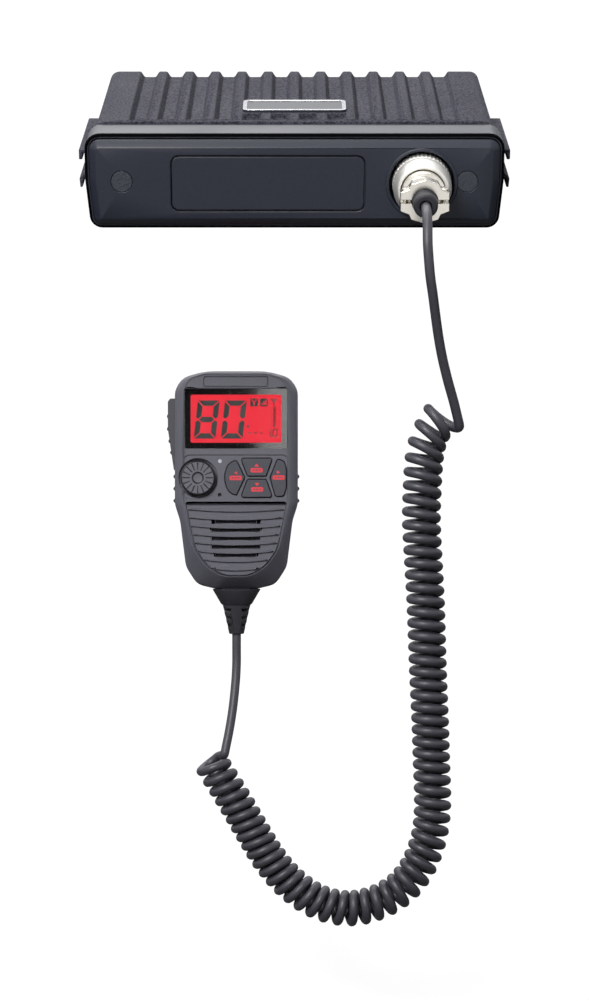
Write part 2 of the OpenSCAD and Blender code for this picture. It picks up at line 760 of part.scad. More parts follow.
// Front panel: a moulded cover with a rounded rim, a bevel, a flat face and the connector's well
module fascia() {
  face = rim_w + bevel_w;
  color("#2b2e36") in_radio() difference() {
    union() {
      difference() {
        loft([
          ring_at(-face_rise, fascia_outline(face + 0.5)),
          ring_at(-face_rise + 0.35, fascia_outline(face - 0.1)),
          ring_at(0, fascia_outline(rim_w)), ring_at(rim_w * 0.12, fascia_outline(rim_w * 0.5)),
          ring_at(rim_w * 0.45, fascia_outline(rim_w * 0.16)),
          ring_at(rim_w, fascia_outline(0)), ring_at(fascia_depth, fascia_outline(0))]);
        loft([
          ring_at(fascia_wall - face_rise, fascia_outline(face + fascia_wall)),
          ring_at(rim_w, fascia_outline(fascia_wall)),
          ring_at(fascia_depth + cut, fascia_outline(fascia_wall))]);
      }
      for (at = fascia_screws_at) bar(at, boss_r, 1 - face_rise, flange_y);
      bar([socket_x, fascia_h / 2], well_r + well_wall, -face_rise + 1, well_depth + well_floor_t);
    }
    along_y(-cut, rim_line_t) difference() {
      polygon(fascia_outline(rim_w * 0.42));
      polygon(fascia_outline(rim_w * 0.42 + rim_line_w));
    }
    translate([panel_x, 0, fascia_h / 2]) along_y(-face_rise - cut, -face_rise + engrave_t) difference() {
      corners = block_corners(-panel_w / 2, panel_w / 2, -panel_h / 2, panel_h / 2);
      polygon(rounded(corners, same(3, 4), 4));
      polygon(rounded(inset(corners, engrave_w), same(3 - engrave_w, 4), 4));
    }
    for (at = fascia_screws_at) {
      bar(at, cap_r + cap_fit, -face_rise - cut, cap_sink - face_rise);
      bar(at, screw_head_r + seat_gap, -face_rise, screw_seat_y);
      bar(at, case_screw_r + seat_gap, 0, flange_y + cut);
    }
    bar([socket_x, fascia_h / 2], well_r, -face_rise - cut, well_depth);
    bar([socket_x, fascia_h / 2], socket_r + seat_gap, 0, well_depth + well_floor_t + cut);
    translate([socket_x, -face_rise, fascia_h / 2]) rotate([-90, 0, 0]) {
      translate([0, 0, -0.01]) cylinder(r1 = well_r + 1, r2 = well_r, h = 1);
    }
  }
}

module fascia_screws() {
  len = flange_y + boss_len - screw_seat_y - 1;
  color("#6d6f73") in_radio() for (at = fascia_screws_at) {
    translate([at[0], screw_seat_y, at[1]]) rotate([-90, 0, 0]) {
      screw(case_screw_r, len, screw_head_r, screw_head_h);
    }
  }
}

module screw_caps() {
  color("#33363d") in_radio() for (at = fascia_screws_at) {
    bar(at, cap_r, -face_rise, cap_sink - face_rise);
  }
}

// Bright plate on the lid: a raised border round a bare field
module badge() {
  corners = block_corners(-badge_w / 2, badge_w / 2, -badge_d / 2, badge_d / 2);
  color("#c9ccd1") in_radio() translate([0, badge_y, lid_top]) difference() {
    linear_extrude(badge_t) polygon(rounded(corners, same(2.4, 4), 6));
    translate([0, 0, badge_t * 0.7]) linear_extrude(badge_t) {
      polygon(rounded(inset(corners, badge_rim), same(1.4, 4), 6));
    }
  }
}

// Main board with its screw holes
module main_board() {
  color("#2f5a3a") in_radio() difference() {
    block([-board_w / 2, board_y0, board_z], [board_w / 2, board_y1, board_top]);
    for (at = standoffs_at) translate([at[0], at[1], board_z - cut]) {
      cylinder(r = board_screw_r + seat_gap, h = board_t + 2 * cut);
    }
  }
}

module board_screws() {
  color("#b9bcc0") in_radio() for (at = standoffs_at) translate([at[0], at[1], board_top]) {
    mirror([0, 0, 1]) screw(board_screw_r, board_t + standoff_h - 1, board_head_r, board_head_h);
  }
}

// Transmitter module: a capped block on a slotted metal base
module rf_module() {
  base = [module_w + module_ears, module_d + 1, module_base];
  color("#8b8d92") in_radio() translate([module_x, board_y1 - module_in, board_top]) difference() {
    union() {
      translate([-base[0] / 2, -base[1] / 2, 0]) cube(base);
      translate([-module_w / 2, -module_d / 2, module_base - 0.2]) cube([module_w, module_d, module_h]);
    }
    for (x = [-1, 1]) translate([x * (base[0] - module_ears / 2) / 2, 0, -cut]) {
      cylinder(r = case_screw_r, h = module_base + 2 * cut);
    }
  }
}

// Folded tin can over the receiver, with a row of vent holes
module shield_can() {
  can = [shield_w, shield_d, shield_h];
  color("#c6c9cc") in_radio() translate([shield_x, board_y0 + shield_in, board_top]) difference() {
    translate([-can[0] / 2, -can[1] / 2, 0]) cube(can);
    translate([-can[0] / 2 + tin, -can[1] / 2 + tin, -cut]) cube(can - [2 * tin, 2 * tin, tin - cut]);
    for (i = [-2:2], j = [-1, 1]) translate([i * vent_pitch, j * vent_pitch, can[2] - 2 * tin]) {
      cylinder(r = vent_r, h = 4 * tin);
    }
  }
}

// Supply capacitors: rolled aluminium cans
module capacitors() {
  color("#3b4a63") in_radio() for (i = [0:3]) {
    r = i < 2 ? big_can_r : small_can_r;
    h = i < 2 ? big_can_h : small_can_h;
    at = [cans_x + can_pitch * (i % 2), board_y0 + cans_in + can_pitch * floor(i / 2), board_top];
    translate(at) rotate_extrude() polygon([
      [0, 0], [r, 0], [r, 1.4], [r - 0.5, 1.9], [r, 2.4], [r, h - 0.5], [r - 0.5, h], [0, h]]);
  }
}

// Aerial socket: a square flange on the rear wall with a threaded barrel
module antenna_socket() {
  color("#b9bcc0") in_radio() translate([aerial_x, radio_depth, rear_z]) rotate([-90, 0, 0]) difference() {
    union() {
      translate([-aerial_flange / 2, -aerial_flange / 2, 0]) {
        cube([aerial_flange, aerial_flange, aerial_flange_t]);
      }
      cylinder(r = aerial_r, h = aerial_flange_t + aerial_len);
      translate([0, 0, -aerial_back]) cylinder(r = aerial_tail_r, h = aerial_back);
    }
    translate([0, 0, aerial_flange_t]) cylinder(r = aerial_bore_r, h = aerial_len + cut);
    translate([0, 0, -aerial_back - cut]) {
      cylinder(r = aerial_core_r + seat_gap, h = aerial_back + aerial_flange_t + 2 * cut);
    }
    for (x = [-1, 1], y = [-1, 1]) {
      translate([x * aerial_hole_pitch / 2, y * aerial_hole_pitch / 2, -cut]) {
        cylinder(r = aerial_screw_r + seat_gap, h = aerial_flange_t + 2 * cut);
      }
    }
  }
}

// Insulator of the aerial socket with its split middle contact
module antenna_insert() {
  back = aerial_back;
  color("#e8e4d8") in_radio() translate([aerial_x, radio_depth, rear_z]) rotate([-90, 0, 0]) difference() {
    union() {
      translate([0, 0, -back - 3]) cylinder(r = aerial_core_r, h = back + 3 + aerial_flange_t);
      translate([0, 0, aerial_flange_t]) cylinder(r = aerial_bore_r - seat_gap, h = aerial_len * 0.5);
    }
    cylinder(r = 2, h = aerial_len + aerial_flange_t);
  }
}

module antenna_screws() {
  color("#6d6f73") in_radio() for (x = [-1, 1], z = [-1, 1]) {
    translate([aerial_x + x * aerial_hole_pitch / 2, radio_depth + aerial_flange_t,
      rear_z + z * aerial_hole_pitch / 2]) rotate([90, 0, 0]) {
      screw(aerial_screw_r, aerial_flange_t + case_wall + 1, 2.2, 1.4);
    }
  }
}

// Supply inlet: a boxed mouth in the rear wall
module power_inlet() {
  back = inlet_back;
  color("#1d1d20") in_radio() translate([inlet_x, 0, rear_z]) difference() {
    union() {
      along_y(back, radio_depth) square(inlet_outer, center = true);
      along_y(radio_depth, radio_depth + inlet_flange) square(inlet_outer + [3, 3], center = true);
    }
    along_y(back + inlet_wall, radio_depth + inlet_flange + cut) {
      square([inlet_w, inlet_h], center = true);
    }
    for (side = [-1, 1]) translate([side * (inlet_w / 2 - blade_in), 0]) along_y(back - cut, back + 3) {
      square([blade_t + 2 * seat_gap, blade_w + 2 * seat_gap], center = true);
    }
  }
}

module power_contacts() {
  color("#c9a545") in_radio() for (side = [-1, 1]) {
    translate([inlet_x + side * (inlet_w / 2 - blade_in), 0, rear_z]) {
      along_y(inlet_back - 3, radio_depth - 1) square([blade_t, blade_w], center = true);
    }
  }
}

// Loudspeaker jack: a collar through the rear wall on a moulded body
module speaker_jack() {
  color("#26262a") in_radio() difference() {
    union() {
      bar([jack_x, rear_z], jack_collar_r, rear_wall_y - 0.5, radio_depth + jack_collar);
      translate([jack_x, 0, rear_z]) along_y(rear_wall_y - jack_body, rear_wall_y) {
        square([8.5, 7.5], center = true);
      }
      bar([jack_x, rear_z], jack_collar_r + 1.3, radio_depth, radio_depth + 1.4);
    }
    bar([jack_x, rear_z], jack_r, rear_wall_y - jack_body + 1.5, radio_depth + jack_collar + cut);
  }
}

// Panel socket: a flanged tube that stands in the well, held by a nut behind
module mic_socket() {
  color("#c8c9c6") on_socket_axis() difference() {
    union() {
      translate([0, 0, -well_depth - socket_tail]) {
        cylinder(r = socket_r, h = well_depth + socket_tail + socket_front);
      }
      translate([0, 0, -well_depth]) cylinder(r = socket_flange_r, h = socket_flange_t);
    }
    translate([0, 0, -well_depth - socket_tail - cut]) {
      cylinder(r = socket_bore_r, h = well_depth + socket_tail + socket_front + 2 * cut);
    }
  }
}

module socket_nut() {
  color("#b5b6b3") on_socket_axis() translate([0, 0, -well_depth - well_floor_t - nut_t]) difference() {
    cylinder(r = nut_flats / 2 / cos(30), h = nut_t, $fn = 6);
    translate([0, 0, -cut]) cylinder(r = socket_r + seat_gap, h = nut_t + 2 * cut);
  }
}

module contact_places() {
  children();
  for (i = [1:contact_count]) rotate(i * 360 / contact_count) translate([contact_ring_r, 0, 0]) children();
}

module socket_insert() {
  color("#3a2d26") on_socket_axis() difference() {
    translate([0, 0, -insert_back]) {
      cylinder(r = socket_bore_r - seat_gap, h = insert_back - insert_front);
    }
    contact_places() translate([0, 0, -insert_back - cut]) {
      cylinder(r = contact_r + seat_gap, h = insert_back);
    }
  }
}

module socket_pins() {
  color("#c9a545") on_socket_axis() contact_places() {
    translate([0, 0, -insert_back - 3]) cylinder(r = contact_r, h = insert_back + 2.5);
  }
}

// Plug: a turned barrel with a shoulder, ending in the lower half of the cable saddle
module saddle_profile() {
  difference() {
    polygon([[-clamp_ear_x, saddle_gap], [clamp_ear_x, saddle_gap], [clamp_ear_x, clamp_ear_z],
      [5.6, 4.6], [4.8, 6.4], [0, 7.9], [-4.8, 6.4], [-5.6, 4.6], [-clamp_ear_x, clamp_ear_z]]);
    circle(r = grommet_seat_r);
  }
}

module clamp_screw_holes() {
  for (side = [-1, 1]) translate([side * clamp_screw_x, -clamp_ear_z - cut, (neck_end + saddle_end) / 2]) {
    rotate([-90, 0, 0]) cylinder(r = clamp_screw_r + seat_gap, h = 2 * clamp_ear_z + 2 * cut);
  }
}

module plug_shell() {
  color("#d5d3cb") on_socket_axis() difference() {
    union() {
      rotate_extrude() polygon([
        [0, socket_front + 1], [barrel_r, socket_front + 1], [barrel_r, shoulder_end - shoulder_w],
        [shoulder_r, shoulder_end - shoulder_w], [shoulder_r, shoulder_end], [barrel_r, shoulder_end],
        [barrel_r, barrel_end - 1.2], [barrel_r - 1.2, barrel_end], [neck_r, barrel_end],
        [neck_r, neck_end], [0, neck_end]]);
      translate([0, 0, barrel_end - 0.5]) mirror([0, 1, 0]) {
        linear_extrude(saddle_end - barrel_end + 0.5) saddle_profile();
      }
    }
    translate([0, 0, socket_front]) {
      cylinder(r = barrel_r - plug_wall, h = shoulder_end - socket_front);
    }
    cylinder(r = grommet_seat_r, h = plug_len);
    clamp_screw_holes();
  }
}

module plug_insert() {
  color("#2a2a2c") on_socket_axis() difference() {
    translate([0, 0, -plug_face]) {
      cylinder(r = socket_bore_r - 2 * seat_gap - 0.1, h = plug_face + shoulder_end - 1);
    }
    contact_places() translate([0, 0, -plug_face - cut]) {
      cylinder(r = contact_r + 0.15, h = plug_face + 1.5);
    }
  }
}

// Coupling ring: knurled at the back, tapered at the front, free to turn on the barrel
module coupling_ring() {
  bore = socket_r + move_gap;
  trap = shoulder_r + move_gap;
  knurl_end = ring_len - 10;
  color("#dcdad2") on_socket_axis() difference() {
    union() {
      translate([0, 0, -ring_back]) linear_extrude(ring_back + knurl_end) polygon([
        for (i = [0:2 * knurl_count - 1])
          (ring_r - 0.35 * (i % 2)) * [cos(i * 180 / knurl_count), sin(i * 180 / knurl_count)]]);
      rotate_extrude() polygon([
        [0, knurl_end - 0.5], [ring_r - 0.8, knurl_end - 0.5], [ring_r - 0.8, knurl_end + 0.8],
        [ring_r - 0.2, knurl_end + 1.2], [ring_r - 0.2, ring_len - 5],
        [ring_rear_r + 0.2, ring_len - 0.6], [ring_rear_r - 0.3, ring_len], [0, ring_len]]);
    }
    translate([0, 0, -ring_back - cut]) cylinder(r = bore, h = ring_len + ring_back + 2 * cut);
    translate([0, 0, socket_front + move_gap]) {
      cylinder(r = trap, h = ring_len - ring_lip - socket_front - move_gap);
    }
  }
}

// Upper half of the cable saddle
module cable_clamp() {
  color("#d5d3cb") on_socket_axis() difference() {
    translate([0, 0, neck_end + 0.3]) linear_extrude(saddle_end - neck_end - 0.3) saddle_profile();
    clamp_screw_holes();
    for (side = [-1, 1]) translate([side * clamp_screw_x, clamp_ear_z, (neck_end + saddle_end) / 2]) {
      rotate([-90, 0, 0]) cylinder(r = clamp_head_r + 0.2, h = neck_r);
    }
  }
}

module clamp_screws() {
  color("#b9bcc0") on_socket_axis() for (side = [-1, 1]) {
    translate([side * clamp_screw_x, clamp_ear_z, (neck_end + saddle_end) / 2]) rotate([90, 0, 0]) {
      screw(clamp_screw_r, 2 * clamp_ear_z, clamp_head_r, 1.2);
    }
  }
}

// Rubber sleeve that grips the cord in the saddle
module plug_grommet() {
  bore = cord_r + socket_fit;
  color("#1c1c20") on_socket_axis() rotate_extrude() polygon([
    [0, grommet_back], [grommet_r, grommet_back], [grommet_r, saddle_end + 1],
    [grommet_r - 0.5, saddle_end + 1.4], [grommet_r - 0.5, saddle_end + 2], [grommet_r, saddle_end + 2.4],
    [grommet_r - 0.2, plug_len - 0.8], [grommet_r - 0.8, plug_len], [bore, plug_len],
    [bore, plug_len - socket_sink], [0, plug_len - socket_sink]]);
}

// Direction of a line at each of its points
function directions(p) = [
  for (i = [0:len(p) - 1]) unit(p[min(i + 1, len(p) - 1)] - p[max(i - 1, 0)])];

// Carries a side direction along a line without twist
function sides_along(t, first) = [
  for (i = 0, n = unit(first - (first * t[0]) * t[0]); i < len(t);
    i = i + 1, n = i < len(t) ? unit(n - (n * t[i]) * t[i]) : n) n];

// A round tube along a line of points, square to its first and last stretch
module tube(p, r, sides) {
  t = directions(p);
  n = sides_along(t, [1, 0.3, 0.2]);
  loft([for (i = [0:len(p) - 1]) let (b = cross(t[i], n[i]))
    [for (k = [0:sides - 1]) p[i] + r * (cos(k * 360 / sides) * n[i] - sin(k * 360 / sides) * b)]]);
}

// Lengths along the middle line of the curls, counted from its first point
curl_lengths = [
  for (i = 0, s = 0; i < len(curl_line);
    i = i + 1, s = i < len(curl_line) ? s + norm(curl_line[i] - curl_line[i - 1]) : s) s];
curl_length = curl_lengths[len(curl_line) - 1];
curl_turn = 360 * curl_count + curl_finish - curl_start;
curl_pitch = (curl_length - curl_slack) / (curl_turn / 360);

// Slope of the middle line at one of its points
function line_slope(i) =
  let (a = max(i - 1, 0), b = min(i + 1, len(curl_line) - 1))
  (curl_line[b] - curl_line[a]) / (curl_lengths[b] - curl_lengths[a]);
function line_span(s) = max([for (i = [0:len(curl_line) - 2]) s >= curl_lengths[i] ? i : 0]);

// Smooth curve between two points with a slope at each
function bend(p, m, q, k, h, u) =
  (2 * u ^ 3 - 3 * u ^ 2 + 1) * p + (u ^ 3 - 2 * u ^ 2 + u) * h * m
  + (3 * u ^ 2 - 2 * u ^ 3) * q + (u ^ 3 - u ^ 2) * h * k;

// Point of the middle line at a length along it
function line_at(s) =
  let (i = line_span(s), h = curl_lengths[i + 1] - curl_lengths[i])
  bend(curl_line[i], line_slope(i), curl_line[i + 1], line_slope(i + 1), h, (s - curl_lengths[i]) / h);
function line_way(s) = unit(line_at(min(s + 0.5, curl_length)) - line_at(max(s - 0.5, 0)));

// Point of the curls after a given turn
function curl_at(turn) =
  let (n = turn / 360, s = min(curl_pitch * n + curl_slack * (1 - exp(-n / 1.5)), curl_length))
  let (t = line_way(s), front = unit([0, -1, 0] + t[1] * t), side = cross(front, t))
  line_at(s) + curl_r * (cos(curl_start + turn) * side - sin(curl_start + turn) * front);

curl_steps = floor(curl_turn / 360 * rings_per_curl);
curls = [for (i = [0:curl_steps]) curl_at(curl_turn * i / curl_steps)];

// Straight end of a lead, one cord diameter long, and the bend from it into the curls
function run_out(p, way, q, q_way, steps) = concat(
  [p], [for (i = [0:steps - 1]) bend(p + cord_d * way, way, q, q_way, 1.1 * norm(q - p), i / steps)]);
lead_end = radio_lead[len(radio_lead) - 1];
lead_way = unit(lead_end - radio_lead[len(radio_lead) - 2]);
mic_start = mic_lead[0];
mic_way = unit(mic_start - mic_lead[1]);
curl_in = run_out(lead_end, lead_way, curls[0], unit(curls[1] - curls[0]), 5);
curl_end = curls[curl_steps];
curl_out = run_out(mic_start, mic_way, curl_end, unit(curls[curl_steps - 1] - curl_end), 4);
curl_route = concat(curl_in, curls, [for (i = [len(curl_out) - 1:-1:0]) curl_out[i]]);

// Least gap between stretches of the tube that are more than half a turn apart
curl_gap = min([
  for (i = [0:len(curl_route) - 6], j = [i + 5:1:len(curl_route) - 1])
    norm(curl_route[i] - curl_route[j])]) - cord_d;
echo(curl_gap = curl_gap, curl_pitch = curl_pitch);

module cord_radio_lead() {
  color("#2a2a2f") tube(radio_lead, cord_r, lead_sides);
}

module cord_curl() {
  color("#2a2a2f") tube(curl_route, cord_r, curl_sides);
}

module cord_mic_lead() {
  color("#2a2a2f") tube(mic_lead, cord_r, lead_sides);
}

// Handset covers: the outer form of each, its hollow, and what both share
module front_form() {
  loft([
    ring_at(0, cover_outline(0, 0)), ring_at(0.4, cover_outline(0.22, 0)),
    ring_at(1.6, cover_outline(0.55, 0)), ring_at(3.4, cover_outline(0.83, 0)),
    ring_at(split_y - 2, cover_outline(0.97, 0)), ring_at(split_y, cover_outline(1, 0))]);
}

module front_hollow() {
  loft([
    ring_at(cover_wall, cover_outline(0, 0.2)), ring_at(cover_wall + 2, cover_outline(0.6, 0.9)),
    ring_at(split_y + cut, cover_outline(1, cover_wall))]);
}

module rear_form() {
  loft([
    ring_at(split_y, handset_outline(0)), ring_at(handset_d - 10, handset_outline(0.3)),
    ring_at(handset_d - 5.5, handset_outline(1.4)), ring_at(handset_d - 2.5, handset_outline(3.6)),
    ring_at(handset_d - 0.8, handset_outline(6)), ring_at(handset_d, handset_outline(8.5))]);
}

module rear_hollow() {
  loft([
    ring_at(split_y - cut, handset_outline(cover_wall)),
    ring_at(handset_d - 8, handset_outline(cover_wall + 0.6)),
    ring_at(handset_d - 4, handset_outline(cover_wall + 3)),
    ring_at(handset_d - cover_wall, handset_outline(cover_wall + 6))]);
}

module boot_hole() {
  block([-boot_root[0] - seat_gap, boot_y - boot_root[1] - seat_gap, -foot_z - cut],
    [boot_root[0] + seat_gap, boot_y + boot_root[1] + seat_gap, -foot_z + cover_wall + 4]);
}

// A leaf: two shallow arcs that meet in points
module leaf(w, h) {
  steps = 10;
  polygon([for (side = [-1, 1], i = [0:steps - 1]) let (u = side * (1 - 2 * i / steps))
    [u * w / 2, side * h / 2 * (1 - u * u)]]);
}

// Grille: a recess as wide as the face, crossed by leaf-shaped louvres, with slots between them
module grille_cuts() {
  first_z = speaker_z + louvre_pitch * (louvre_count - 1) / 2;
  width_at = [for (i = [len(face_half) - 1:-1:0]) [face_half[i][1], face_half[i][0]]];
  along_y(-cut, grille_sink) difference() {
    intersection() {
      polygon(cover_outline(0, 1));
      translate([-handset_w, -foot_z]) square([2 * handset_w, foot_z + first_z + louvre_pitch * 0.6]);
    }
    for (i = [0:louvre_count - 1]) translate([0, first_z - i * louvre_pitch]) {
      leaf(2 * lookup(first_z - i * louvre_pitch, width_at) - 1, louvre_h);
    }
  }
  for (i = [1:louvre_count - 3]) translate([0, 0, first_z - (i + 0.5) * louvre_pitch]) {
    w = slot_w - (i > 1 && i < louvre_count - 3 ? 0 : 3);
    along_y(-cut, cover_wall + cut) square([w, slot_h], center = true);
  }
}

// Fine grooves round the face and round the bare nameplate
module face_lines() {
  plate = block_corners(-12.8, 12.8, crown_z - crown_edge - 5.5, crown_z - crown_edge - 1.2);
  along_y(-cut, 0.3) difference() {
    polygon(cover_outline(0, 0.2));
    polygon(cover_outline(0, 0.7));
  }
  along_y(-cut, 0.5) difference() {
    polygon(rounded(plate, same(1.2, 4), 4));
    polygon(rounded(inset(plate, 0.45), same(0.75, 4), 4));
  }
}

module key_outline(form, d) {
  polygon(rounded(inset(form[0], d), [for (r = form[1]) max(0.4, r - d)], 4));
}

module window_block(margin, y0, y1, w, h) {
  translate([0, 0, window_z]) along_y(y0, y1) {
    square([w + 2 * margin, h + 2 * margin], center = true);
  }
}

module front_cover() {
  color("#4b4b52") in_handset() difference() {
    union() {
      difference() {
        front_form();
        front_hollow();
      }
      intersection() {
        front_form();
        union() {
          for (at = cover_screws_at) bar(at, pilot_r, 1, board2_y);
          for (at = cover_screws_at) bar(at, spigot_r, 1, split_y);
          bar(knob_at, well2_r + well2_wall, 1, encoder_y);
        }
      }
    }
    along_y(-cut, panel_sink) {
      polygon(rounded(key_panel, same(2, 4), 4));
    }
    window_block(seat_gap, -cut, window_t, window_w, window_h);
    window_block(0, 0, cover_wall + cut, lcd_w, lcd_h);
    for (form = key_forms) along_y(0, cover_wall + cut) key_outline(form, -key_hole_gap);
    bar(knob_at, well2_r, -cut, well2_y);
    bar(knob_at, shaft_hole_r, 0, encoder_y + cut);
    bar(light_pipe_at, light_pipe_r + seat_gap, -cut, cover_wall + cut);
    bar(mic_at, mic_hole_r, -cut, cover_wall + cut);
    grille_cuts();
    face_lines();
    for (at = cover_screws_at) bar(at, cover_screw_r + seat_gap, 2.5, split_y + cut);
    along_y(split_y - seal_t, split_y + cut) difference() {
      polygon(handset_outline(seal_in - seat_gap));
      polygon(handset_outline(seal_in + seal_w + seat_gap));
    }
    boot_hole();
  }
}

module rear_cover() {
  color("#3a3a40") in_handset() difference() {
    union() {
      rear_form();
      for (side = [-1, 1], i = [0:grip_count - 1]) {
        at = [side * (handset_w / 2 - 0.2), grip_z - i * grip_pitch];
        bar(at, grip_r, split_y + 0.5, split_y + 7);
      }
    }
    difference() {
      rear_hollow();
      for (at = cover_screws_at) bar(at, post_r, split_y, handset_d);
    }
    for (at = cover_screws_at) {
      bar(at, cover_screw_r + seat_gap, split_y - cut, handset_d);
      bar(at, cover_head_r + 0.2, cover_seat_y, handset_d + cut);
    }
    block([-handset_w / 2 - cut, split_y - cut, ptt_foot_z - 0.6],
      [-handset_w / 2 + cover_wall + 1.6, ptt_y0 + ptt_w + 0.4, ptt_top_z + 0.8]);
    block([bracket_out - 0.3, split_y, ptt_hinge[1] - bracket_h / 2 - seat_gap],
      [ptt_hinge[0], ear_y + ear_w + plate_gap + plate_t + seat_gap, ptt_foot_z]);
    bar([0, hang_z], 1.2 + seat_gap, handset_d - cover_wall - cut, handset_d + cut);
    boot_hole();
  }
}

// Rubber cord in the groove between the covers
module cover_seal() {
  color("#222226") in_handset() difference() {
    along_y(split_y - seal_t + seat_gap, split_y) difference() {
      polygon(handset_outline(seal_in));
      polygon(handset_outline(seal_in + seal_w));
    }
    boot_hole();
  }
}

module cover_screws() {
  color("#6d6f73") in_handset() for (at = cover_screws_at) translate([at[0], cover_seat_y, at[1]]) {
    rotate([90, 0, 0]) screw(cover_screw_r, cover_seat_y - 3, cover_head_r, 1.6);
  }
}

module display_window() {
  color("#0c0c10") in_handset() window_block(0, 0, window_t, window_w, window_h);
}

// Display glass behind the window
module display_panel() {
  color("#ee3a46") in_handset() window_block(display_rim, display_y, display_y + display_t, lcd_w, lcd_h);
}

module backlight() {
  y0 = display_y + display_t;
  color("#e9e9e6") in_handset() difference() {
    window_block(display_rim, y0, board2_y, lcd_w, lcd_h);
    window_block(-2, y0 + 0.6, board2_y + cut, lcd_w, lcd_h);
  }
}

module handset_board() {
  color("#2f5a3a") in_handset() difference() {
    along_y(board2_y, board2_y + board2_t) intersection() {
      polygon(handset_outline(cover_wall + 1.4));
      translate([-handset_w, board2_foot]) square([2 * handset_w, crown_z - board2_foot]);
    }
    for (at = cover_screws_at) bar(at, spigot_r + seat_gap, board2_y - cut, board2_y + board2_t + cut);
  }
}

// A key: a cap in its hole, with a lip behind the face
module key(form) {
  color("#3f3f46") in_handset() {
    along_y(-key_rise, cover_wall + move_gap + 0.1) key_outline(form, 0);
    along_y(cover_wall + move_gap, key_back) key_outline(form, -key_lip);
  }
}

module key_left() {
  key(key_forms[0]);
}

module key_top() {
  key(key_forms[1]);
}

module key_bottom() {
  key(key_forms[2]);
}

module key_right() {
  key(key_forms[3]);
}

// Silicone mat with a dome under each key
module key_mat() {
  color("#8d8f94") in_handset() {
    along_y(board2_y - mat_t, board2_y) polygon(block_corners(-5.2, 19.6, -7.2, 8.4));
    for (at = key_domes_at) bar(at, dome_r, key_back + key_travel + 0.2, board2_y - mat_t + 0.1);
  }
}

// Knob: a turned cap with grooves on its face and a dish in the middle
module volume_knob() {
  back = well2_y - knob_travel - 0.2;
  color("#46464d") in_handset() translate([knob_at[0], back, knob_at[1]]) rotate([90, 0, 0]) {
    h = back + knob_rise;
    difference() {
      rotate_extrude() polygon([[0, 0], [knob_r, 0], [knob_r, h - 0.9], [knob_r - 0.7, h], [2.4, h],
        [1.8, h - 0.5], [0, h - 0.6]]);
      translate([0, 0, -cut]) cylinder(r = shaft_r + seat_gap, h = h - 1.2 + cut);
      for (i = [1:knob_groove_count]) rotate(i * 360 / knob_groove_count) {
        translate([3.2, -0.15, h - 0.3]) cube([knob_r, 0.3, 1]);
      }
    }
  }
}

module encoder_shaft() {
  color("#b9bcc0") in_handset() bar(knob_at, shaft_r, 1.3 - knob_rise, board2_y - knob_travel - 0.5);
}

// Turning sleeve of the encoder, which the shaft slides through
module encoder_rotor() {
  color("#d8d8d4") in_handset() difference() {
    bar(knob_at, rotor_r, encoder_y + move_gap, board2_y - move_gap);
    bar(knob_at, shaft_r + run_gap, encoder_y, board2_y);
  }
}

module encoder_body() {
  color("#9a9c9f") in_handset() difference() {
    translate([knob_at[0], 0, knob_at[1]]) along_y(encoder_y, board2_y) square(encoder_w, center = true);
    bar(knob_at, rotor_r + run_gap, encoder_y - cut, board2_y + cut);
  }
}

// Talk button: a long side key on a hinge at its foot, with a post over the switch
module ptt_button() {
  side = -handset_w / 2;
  out = side - ptt_rise;
  color("#3a3a40") in_handset() difference() {
    union() {
      along_y(ptt_y0, ptt_y0 + ptt_w) polygon([
        [ptt_inner_x, ptt_top_z], [out + 0.9, ptt_top_z], [out, ptt_top_z - 1.2],
        [out, ptt_top_z - 12], [side - 1, ptt_foot_z + 4], [side - 0.4, ptt_foot_z],
        [ptt_inner_x, ptt_foot_z]]);
      for (g = ptt_grips) bar([out + g[0] + 0.3, g[1]], 0.7, ptt_y0 + 0.8, ptt_y0 + ptt_w - 0.8);
      along_y(ear_y, ear_y + ear_w) polygon([
        [ptt_inner_x - 0.1, ptt_foot_z + 1.6], [ptt_inner_x - 0.1, ptt_foot_z + 0.2],
        [ptt_inner_x + 0.6, ptt_foot_z + 0.2], [ptt_inner_x + 0.6, ptt_hinge[1] - ear_h / 2],
        [ptt_hinge[0] + 1.8, ptt_hinge[1] - ear_h / 2], [ptt_hinge[0] + 1.8, ptt_foot_z + 1.6]]);
      along_y(ear_y, ear_y + ear_w) polygon(block_corners(ptt_inner_x - 0.1,
        switch_x - plunger - post_gap, switch_z - 2, switch_z + 2));
    }
    bar(ptt_hinge, ptt_pin_r + run_gap, ear_y - cut, ear_y + ear_w + cut);
  }
}

module ptt_pin() {
  y = ear_y - plate_gap - plate_t;
  color("#b9bcc0") in_handset() bar(ptt_hinge, ptt_pin_r, y, ear_y + ear_w + plate_gap + plate_t);
}

// Hinge bracket: two plates on a back strip that stands on the board
module ptt_bracket() {
  y0 = ear_y - plate_gap - plate_t;
  y1 = ear_y + ear_w + plate_gap + plate_t;
  z0 = ptt_hinge[1] - bracket_h / 2;
  color("#a7a9ad") in_handset() difference() {
    union() {
      for (y = [y0, y1 - plate_t]) {
        block([bracket_out, y, z0], [bracket_x + plate_t, y + plate_t, z0 + bracket_h]);
      }
      block([bracket_x, board2_y + board2_t, z0], [bracket_x + plate_t, y1, z0 + bracket_h]);
    }
    bar(ptt_hinge, ptt_pin_r + seat_gap / 2, y0 - cut, y1 + cut);
  }
}

module ptt_switch() {
  y0 = board2_y + board2_t;
  color("#1f1f22") in_handset() {
    block([switch_x, y0, switch_z - 3.4], [switch_x + 4.5, ear_y + ear_w, switch_z + 3.4]);
    translate([switch_x - plunger, ear_y + ear_w / 2, switch_z]) rotate([0, 90, 0]) {
      cylinder(r = 1.6, h = plunger + 0.2);
    }
  }
}

